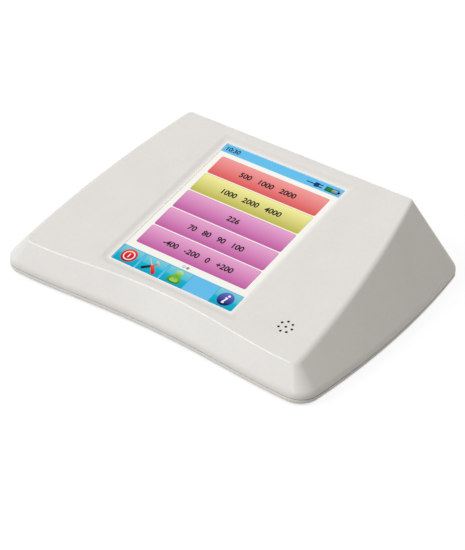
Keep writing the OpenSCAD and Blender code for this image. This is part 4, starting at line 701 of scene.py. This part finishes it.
def lit(name, top, bottom=None, v_top=PICTURE_H/2, v_bottom=-PICTURE_H/2):
    """Light from the picture, shaded from top to bottom, with the display's fine dot rows."""
    s = Surface(name, 0.4, specular=0.05)
    s.shader.inputs["Base Color"].default_value = (0.0, 0.0, 0.0, 1.0)
    parts = s.node("ShaderNodeSeparateXYZ", _0=s.place).outputs
    y_top, y_bottom = (on_face(0, v, GLASS)[1]*MM for v in (v_top, v_bottom))
    down = s.mapped(parts[1], 0, 1, y_top, y_bottom)
    end = srgb(*bottom) if bottom else toned(top, PLAIN_SHADE)
    s.links.new(s.mix(down, srgb(*top), end), s.shader.inputs["Emission Color"])
    rows = [s.math("SINE", s.math("MULTIPLY", parts[k], 2*math.pi/(DOT_PITCH*MM))) for k in (0, 1)]
    dots = s.math("MULTIPLY", *rows)
    s.links.new(s.mapped(dots, DOT_DARK, 1, -1, 1), s.shader.inputs["Emission Strength"])
    return s.material


def film(name, flats, level, material):
    """One thin piece of the picture: one or more outlines at a level above the glass."""
    points, faces = [], []
    for flat in flats:
        n, first = len(flat), len(points)
        points += [on_face(x, v, GLASS + level - FILM_T) for x, v in flat]
        points += [on_face(x, v, GLASS + level) for x, v in flat]
        faces += [[first + i for i in range(n)][::-1], [first + n + i for i in range(n)]]
        faces += band(first, first + n, n)
    obj = mesh_object(name, points, faces)
    outward(obj)
    return dress(obj, "housing", "screen_surface", material)


def stroke(x0, v0, x1, v1, width):
    """A straight stroke with round ends."""
    a = math.atan2(v1 - v0, x1 - x0)
    turn = [a - math.pi/2 + math.pi*k/END_STEPS for k in range(END_STEPS + 1)]
    return [(x1 + width/2*math.cos(t), v1 + width/2*math.sin(t)) for t in turn] + \
        [(x0 - width/2*math.cos(t), v0 - width/2*math.sin(t)) for t in turn]


def tile(x0, v0, x1, v1, r, inset=0.0):
    """A rectangle with rounded corners between two corners, or inset from them."""
    return rounded(x1 - x0 - 2*inset, v1 - v0 - 2*inset, r - inset, cx=(x0 + x1)/2, cy=(v0 + v1)/2)


def numerals(name, text, size, x, v, level, material, align="CENTER"):
    """Numbers as a flat piece of the picture."""
    curve = bpy.data.curves.new(name, "FONT")
    curve.body, curve.size, curve.align_x, curve.align_y = text, size, align, "CENTER"
    curve.extrude, curve.offset, curve.resolution_u = TEXT_T, TEXT_BOLD, TEXT_STEPS
    holder = bpy.data.objects.new(name + "_line", curve)
    bpy.context.scene.collection.objects.link(holder)
    bpy.context.view_layer.update()
    mesh = bpy.data.meshes.new_from_object(holder.evaluated_get(bpy.context.evaluated_depsgraph_get()))
    bpy.data.objects.remove(holder)
    for point in mesh.vertices:
        a, b, c = point.co
        point.co = Vector(on_face(x + a, v + b, GLASS + level + c))*MM
    mesh.name = name
    obj = bpy.data.objects.new(name, mesh)
    bpy.context.scene.collection.objects.link(obj)
    return dress(obj, "housing", "screen_surface", material)


def page_and_bars():
    """The pale page, the strips at its top and bottom, and the five bars with their numbers."""
    w, h = PICTURE_W/2, PICTURE_H/2
    film("page", [tile(-w, -h, w, h, 0.2)], PAGE, lit("page_light", (248, 248, 240)))
    sky = lit("bar_blue", (102, 192, 238))
    film("status_bar", [tile(-w, STATUS_LOW, w, h, 0.15)], STRIP, sky)
    film("tool_bar", [tile(-w, -h, w, TOOLS_HIGH, 0.15)], STRIP, sky)
    ink = lit("ink", (26, 18, 24))
    for i, (text, light, dark, rim) in enumerate(BARS):
        name, high = f"bar_{i + 1}", BAR_HIGH - BAR_PITCH*i
        low = high - BAR_H
        corners = -BAR_X, low, BAR_X, high, BAR_R
        film(name + "_rim", [tile(*corners)], STRIP, lit(name + "_rim", rim))
        film(name, [tile(*corners, BAR_RIM)], BAR, lit(name, light, dark, high, low))
        numerals(name + "_numbers", text, BAR_TEXT, 0, (low + high)/2 - TEXT_DROP, NUMBERS, ink)


def small_marks(white):
    """The two page dots, the clock, the battery and the plug."""
    film("page_dots", [circle(1.0, 24, -1.9, DOTS_V), circle(1.05, 24, 0.9, DOTS_V)], STRIP,
         lit("grey", (150, 150, 150)))
    film("page_dot_hole", [circle(0.6, 24, -1.9, DOTS_V)], BAR, white)
    numerals("clock", "10:30", CLOCK_TEXT, -42.2, 54.2, CLOCK, lit("clock_ink", (40, 62, 78)), "LEFT")
    low, high = BATTERY_LOW, BATTERY_HIGH
    film("battery_case", [tile(31.3, 52.2, 40.4, 55.9, 0.3), tile(40.0, 53.2, 41.4, 54.9, 0.3)], BAR,
         lit("black", (26, 30, 32)))
    film("battery_charge", [tile(31.8, low, 36.0, high, 0.15)], TILE,
         lit("charge", (20, 150, 60), (10, 120, 40), high, low))
    film("battery_rest", [tile(36.0, low, 39.9, high, 0.15)], TILE,
         lit("rest", (176, 180, 182), (120, 124, 126), high, low))
    film("plug_mark", [stroke(18.2, 54.1, 23.8, 54.1, 0.8), tile(23.4, 52.3, 26.6, 55.9, 0.6),
                       stroke(26.4, 55.1, 29.0, 55.1, 0.85), stroke(26.4, 53.1, 29.0, 53.1, 0.85)],
         BAR, lit("navy", (12, 60, 110)))


def tiles():
    """The tiles of the tool row, each a rim with a light upper and a deeper lower part."""
    edge = lit("tile_rim", (40, 170, 205))
    upper = lit("tile_upper", (132, 203, 214), (62, 190, 214), -44.2, MARK_V)
    lower = lit("tile_lower", (0, 182, 213), (0, 158, 190), MARK_V, TILE_LOW)
    for i, (x0, x1) in enumerate(TILE_ENDS):
        name, left, right = f"tile_{i + 1}", x0 + TILE_RIM, x1 - TILE_RIM
        film(name + "_rim", [tile(x0, TILE_LOW, x1, TILE_HIGH, 0.7)], BAR, edge)
        film(name + "_upper", [tile(left, TILE_SPLIT, right, TILE_FACE_HIGH, 0.3)], TILE, upper)
        film(name + "_lower", [tile(left, TILE_FACE_LOW, right, TILE_SPLIT, 0.3)], TILE, lower)


def power_mark(x, v, white):
    """A red disc with a ring and a stroke. Each mark is drawn around its own middle at x, v."""
    film("power_disc", [circle(5.2, 48, x, v)], DISC,
         lit("power_red", (240, 62, 50), (176, 8, 8), v + 5, v - 5))
    film("power_ring", [circle(3.7, 40, x, v)], MARK, white)
    film("power_ring_inside", [circle(3.0, 40, x, v)], OVER,
         lit("power_inside", (232, 40, 34), (196, 14, 12), v + 3, v - 3))
    film("power_stroke", [stroke(x, v - 1.3, x, v + 1.3, 0.75)], TOP, white)


def tools_mark(x, v):
    """A hammer and a screwdriver, crossed."""
    head = [(-0.1, 4.4), (0.9, 4.9), (3.2, 3.4), (4.4, 0.7), (4.0, 0.1), (3.2, 1.0), (2.0, 2.3),
            (0.9, 3.2)]
    film("hammer_shaft", [stroke(x - 0.9, v - 0.6, x + 2.2, v + 2.7, 0.8)], DISC,
         lit("shaft", (118, 128, 140)))
    film("hammer_head", [[(x + a, v + b) for a, b in head]], MARK,
         lit("head", (210, 218, 224), (112, 122, 132), v + 5, v))
    film("hammer_grip", [stroke(x - 4.5, v - 3.7, x - 0.6, v - 0.5, 2.1)], MARK,
         lit("grip_black", (48, 52, 54), (14, 16, 18), v, v - 5))
    film("driver_blade", [stroke(x - 4.4, v + 4.2, x - 0.4, v + 0.2, 0.6)], BLADE,
         lit("blade", (196, 206, 212)))
    film("driver_grip", [stroke(x + 0.4, v - 0.3, x + 3.6, v - 4.3, 2.5)], OVER,
         lit("grip_red", (244, 84, 52), (204, 20, 8), v, v - 5))


def person_mark(x, v):
    """Plain head and shoulders, as for a list of people."""
    body = [(4.7, -2.6), (4.4, -1.2), (3.4, 0.2), (2.2, 1.2), (-2.2, 1.2), (-3.4, 0.2), (-4.4, -1.2),
            (-4.7, -2.6), (-4.3, -4.0), (-3.2, -4.9), (0, -5.3), (3.2, -4.9), (4.3, -4.0)]
    film("person_body", [[(x + a, v + b) for a, b in body][::-1]], DISC,
         lit("person_green", (150, 210, 96), (40, 132, 20), v + 5, v - 5))
    film("person_glow", [[(x + 0.6*a, v - 2.4 + 0.55*(b + 2)) for a, b in body][::-1]], MARK,
         lit("person_light", (92, 180, 44), (186, 222, 104), v, v - 5))
    film("person_head", [circle(2.5, ROUND_STEPS, x, v + 2.8)], MARK,
         lit("head_green", (196, 230, 146), (84, 170, 34), v + 5.3, v + 0.3))


def note_mark(x, v, white):
    """A ball with the letter i, as for notes."""
    film("note_ball", [circle(5.1, 48, x, v)], DISC,
         lit("ball_navy", (104, 112, 206), (20, 14, 88), v + 5, v - 4))
    film("note_mark", [circle(0.8, 20, x + 0.75, v + 2.75),
                       stroke(x + 0.5, v + 0.9, x - 0.6, v - 2.9, 1.15),
                       stroke(x - 0.4, v + 0.95, x + 0.5, v + 0.95, 0.8),
                       stroke(x - 0.7, v - 2.95, x + 0.3, v - 2.95, 0.8)], MARK, white)


def picture():
    page_and_bars()
    white = lit("white", (246, 248, 252))
    small_marks(white)
    tiles()
    power, tools, person, note = MARK_X
    power_mark(power, MARK_V, white)
    tools_mark(tools, MARK_V)
    person_mark(person, MARK_V)
    note_mark(note, MARK_V, white)


# Floor, light and camera

def floor():
    """Pale paper. It shows white, with the object's shadow faint on it, and a painted shadow darkest
    under the rim.
    """
    corners = [(-1, -1), (1, -1), (1, 1), (-1, 1)]
    obj = mesh_object("floor", [[a*FLOOR_HALF, b*FLOOR_HALF, 0] for a, b in corners], [[0, 1, 2, 3]])
    s = Surface("floor_paper", 0.9, specular=0.05)
    seen = seen_directly(s.material.node_tree)
    s.links.new(s.mix(seen, FLOOR_BOUNCE, FLOOR_TONE), s.shader.inputs["Base Color"])
    # Painted shadow: the white glow that the camera sees is dimmed where the floor is closed in under
    # the object
    near = s.node("ShaderNodeAmbientOcclusion", {"samples": 16}, Distance=SHADE_REACH*MM).outputs["AO"]
    shown = s.math("MULTIPLY", seen, s.mapped(near, SHADE_CLOSE, SHADE_OPEN, 0, SHADE_FULL))
    s.shader.inputs["Emission Color"].default_value = (1, 1, 1, 1)
    s.links.new(shown, s.shader.inputs["Emission Strength"])
    obj.data.materials.append(s.material)


def seen_directly(tree):
    """1 for rays from the camera, a reflection or a clear piece, 0 for the light on the object."""
    path = tree.nodes.new("ShaderNodeLightPath").outputs
    total = path["Is Camera Ray"]
    for kind in ("Is Glossy Ray", "Is Transmission Ray"):
        node = tree.nodes.new("ShaderNodeMath")
        node.operation = "MAXIMUM"
        tree.links.new(total, node.inputs[0])
        tree.links.new(path[kind], node.inputs[1])
        total = node.outputs[0]
    return total


def world(tint, level):
    """A white room that lights the object softly."""
    room = bpy.data.worlds.new("studio")
    bpy.context.scene.world = room
    room.use_nodes = True
    tree = room.node_tree
    back, seen = tree.nodes["Background"], seen_directly(tree)
    tone, strength = tree.nodes.new("ShaderNodeMix"), tree.nodes.new("ShaderNodeMapRange")
    tone.data_type = "RGBA"
    tree.links.new(seen, tone.inputs[0])
    tone.inputs[6].default_value, tone.inputs[7].default_value = (*tint, 1), (1, 1, 1, 1)
    tree.links.new(tone.outputs[2], back.inputs["Color"])
    tree.links.new(seen, strength.inputs[0])
    strength.inputs[3].default_value, strength.inputs[4].default_value = level, 1
    tree.links.new(strength.outputs[0], back.inputs["Strength"])


def soft_lamp(name, toward, tint, strength, angle):
    """A distant soft lamp. toward points from the object to the lamp."""
    data = bpy.data.lights.new(name, "SUN")
    data.color, data.energy, data.angle = tint, strength*math.pi, math.radians(angle)
    obj = bpy.data.objects.new(name, data)
    obj.rotation_euler = Vector(toward).to_track_quat("Z", "Y").to_euler()
    bpy.context.scene.collection.objects.link(obj)


def camera():
    """The photograph's view: from the front right, a little above."""
    az, el, roll = (math.radians(angle) for angle in (AZIMUTH, ELEVATION, ROLL))
    back = Vector((math.sin(az)*math.cos(el), -math.cos(az)*math.cos(el), math.sin(el)))
    right = Vector((math.cos(az), math.sin(az), 0))
    turned = right*math.cos(roll) + back.cross(right)*math.sin(roll)
    data = bpy.data.cameras.new("camera")
    data.sensor_width, data.lens = SENSOR, FOCAL_PX*SENSOR/FRAME_H_PX
    data.clip_start, data.clip_end = CLIP_NEAR, CLIP_FAR
    obj = bpy.data.objects.new("camera", data)
    place = Matrix.Translation((Vector(AIM) + back*DISTANCE)*MM)
    obj.matrix_world = place @ Matrix((turned, back.cross(turned), back)).transposed().to_4x4()
    bpy.context.scene.collection.objects.link(obj)
    bpy.context.scene.camera = obj


# The part, with one material for each slot

finish = {
    # The shell's colour has painted light on the window's lip and painted shade on the dish
    "shell": moulded("shell_plastic", (229, 226, 221), 0.32, grain=1500, depth=0.012, spread=0.009,
                     lip=True),
    "base": moulded("base_plastic", (226, 223, 217), 0.34, grain=1500, depth=0.012, spread=0.009),
    "panel": moulded("panel_plastic", (221, 218, 213), 0.5, depth=0.015, spread=0.01),
    "screen_surface": glass("touch_glass"),
    "black_plastic": moulded("black_plastic", (40, 40, 42), 0.42, spread=0.08),
    "grey_plastic": moulded("grey_plastic", (142, 144, 147), 0.45, spread=0.03),
    "white_plastic": moulded("white_plastic", (232, 231, 228), 0.42),
    "clear_plastic": milky("clear_plastic", (200, 212, 216)),
    "board": circuit("solder_mask", (22, 92, 54)),
    "chips": moulded("chip_package", (44, 44, 46), 0.5, grain=2400, spread=0.1),
    "ribbon": banded("ribbon_film", (204, 142, 62), 0.35, "X", 1),
    "foam": foam("black_foam", (46, 46, 48)),
    "rubber": moulded("black_rubber", (44, 44, 46), 0.72, grain=900, depth=0.04, spread=0.08,
                      specular=0.3),
    "tube": wrap("silicone_tube", (228, 231, 231), 0.34),
    "wire": wrap("wire_cover", (176, 40, 34), 0.36, 400),
    "steel": metal("brushed_steel", (198, 199, 203), 0.32, (1, 8, 8)),
    "plated": metal("nickel_plate", (226, 226, 228), 0.16, grain=400, depth=0.003, spread=0.02),
    "brass": metal("brass", (224, 196, 138), 0.3, (8, 8, 1)),
    "aluminium": metal("aluminium", (218, 219, 222), 0.4, (1, 1, 8)),
    "cell": wrap("cell_film", (90, 132, 176)),
    "sleeve": wrap("sleeve_film", (82, 118, 158)),
    "coil": banded("coil_winding", (172, 112, 66), 0.4, "Z", 0.3),
}
for node, solid in nodes.items():
    for place in solid.material_slots:
        place.material = finish[slot_of[node]]

# Painted shade: a darker colour for the faces inside the seam, where the groove is in shade
seam_painted_shade = moulded("seam_painted_shade", (198, 194, 188), 0.7, spread=0.03)
upper_shell = dress(top_housing(), "housing", "shell", finish["shell"], "top_housing")
lower_shell = dress(base_shell(), "housing", "base", finish["base"], "base_shell")
paint_shade_in_seam(upper_shell, seam_painted_shade, *UPPER_SEAM)
paint_shade_in_seam(lower_shell, seam_painted_shade, *LOWER_SEAM)
speaker_cloth_and_hole_shade()
picture()
for node, bevel in BEVELS.items():
    refine(node, bevel, "housing")
refine("power_button", BUTTON_BEVEL, "power_button")

# The stage

floor()
world(ROOM_TINT, ROOM_LEVEL)
for lamp in LAMPS:
    soft_lamp(*lamp)
camera()
bpy.context.scene.view_settings.view_transform = "Standard"
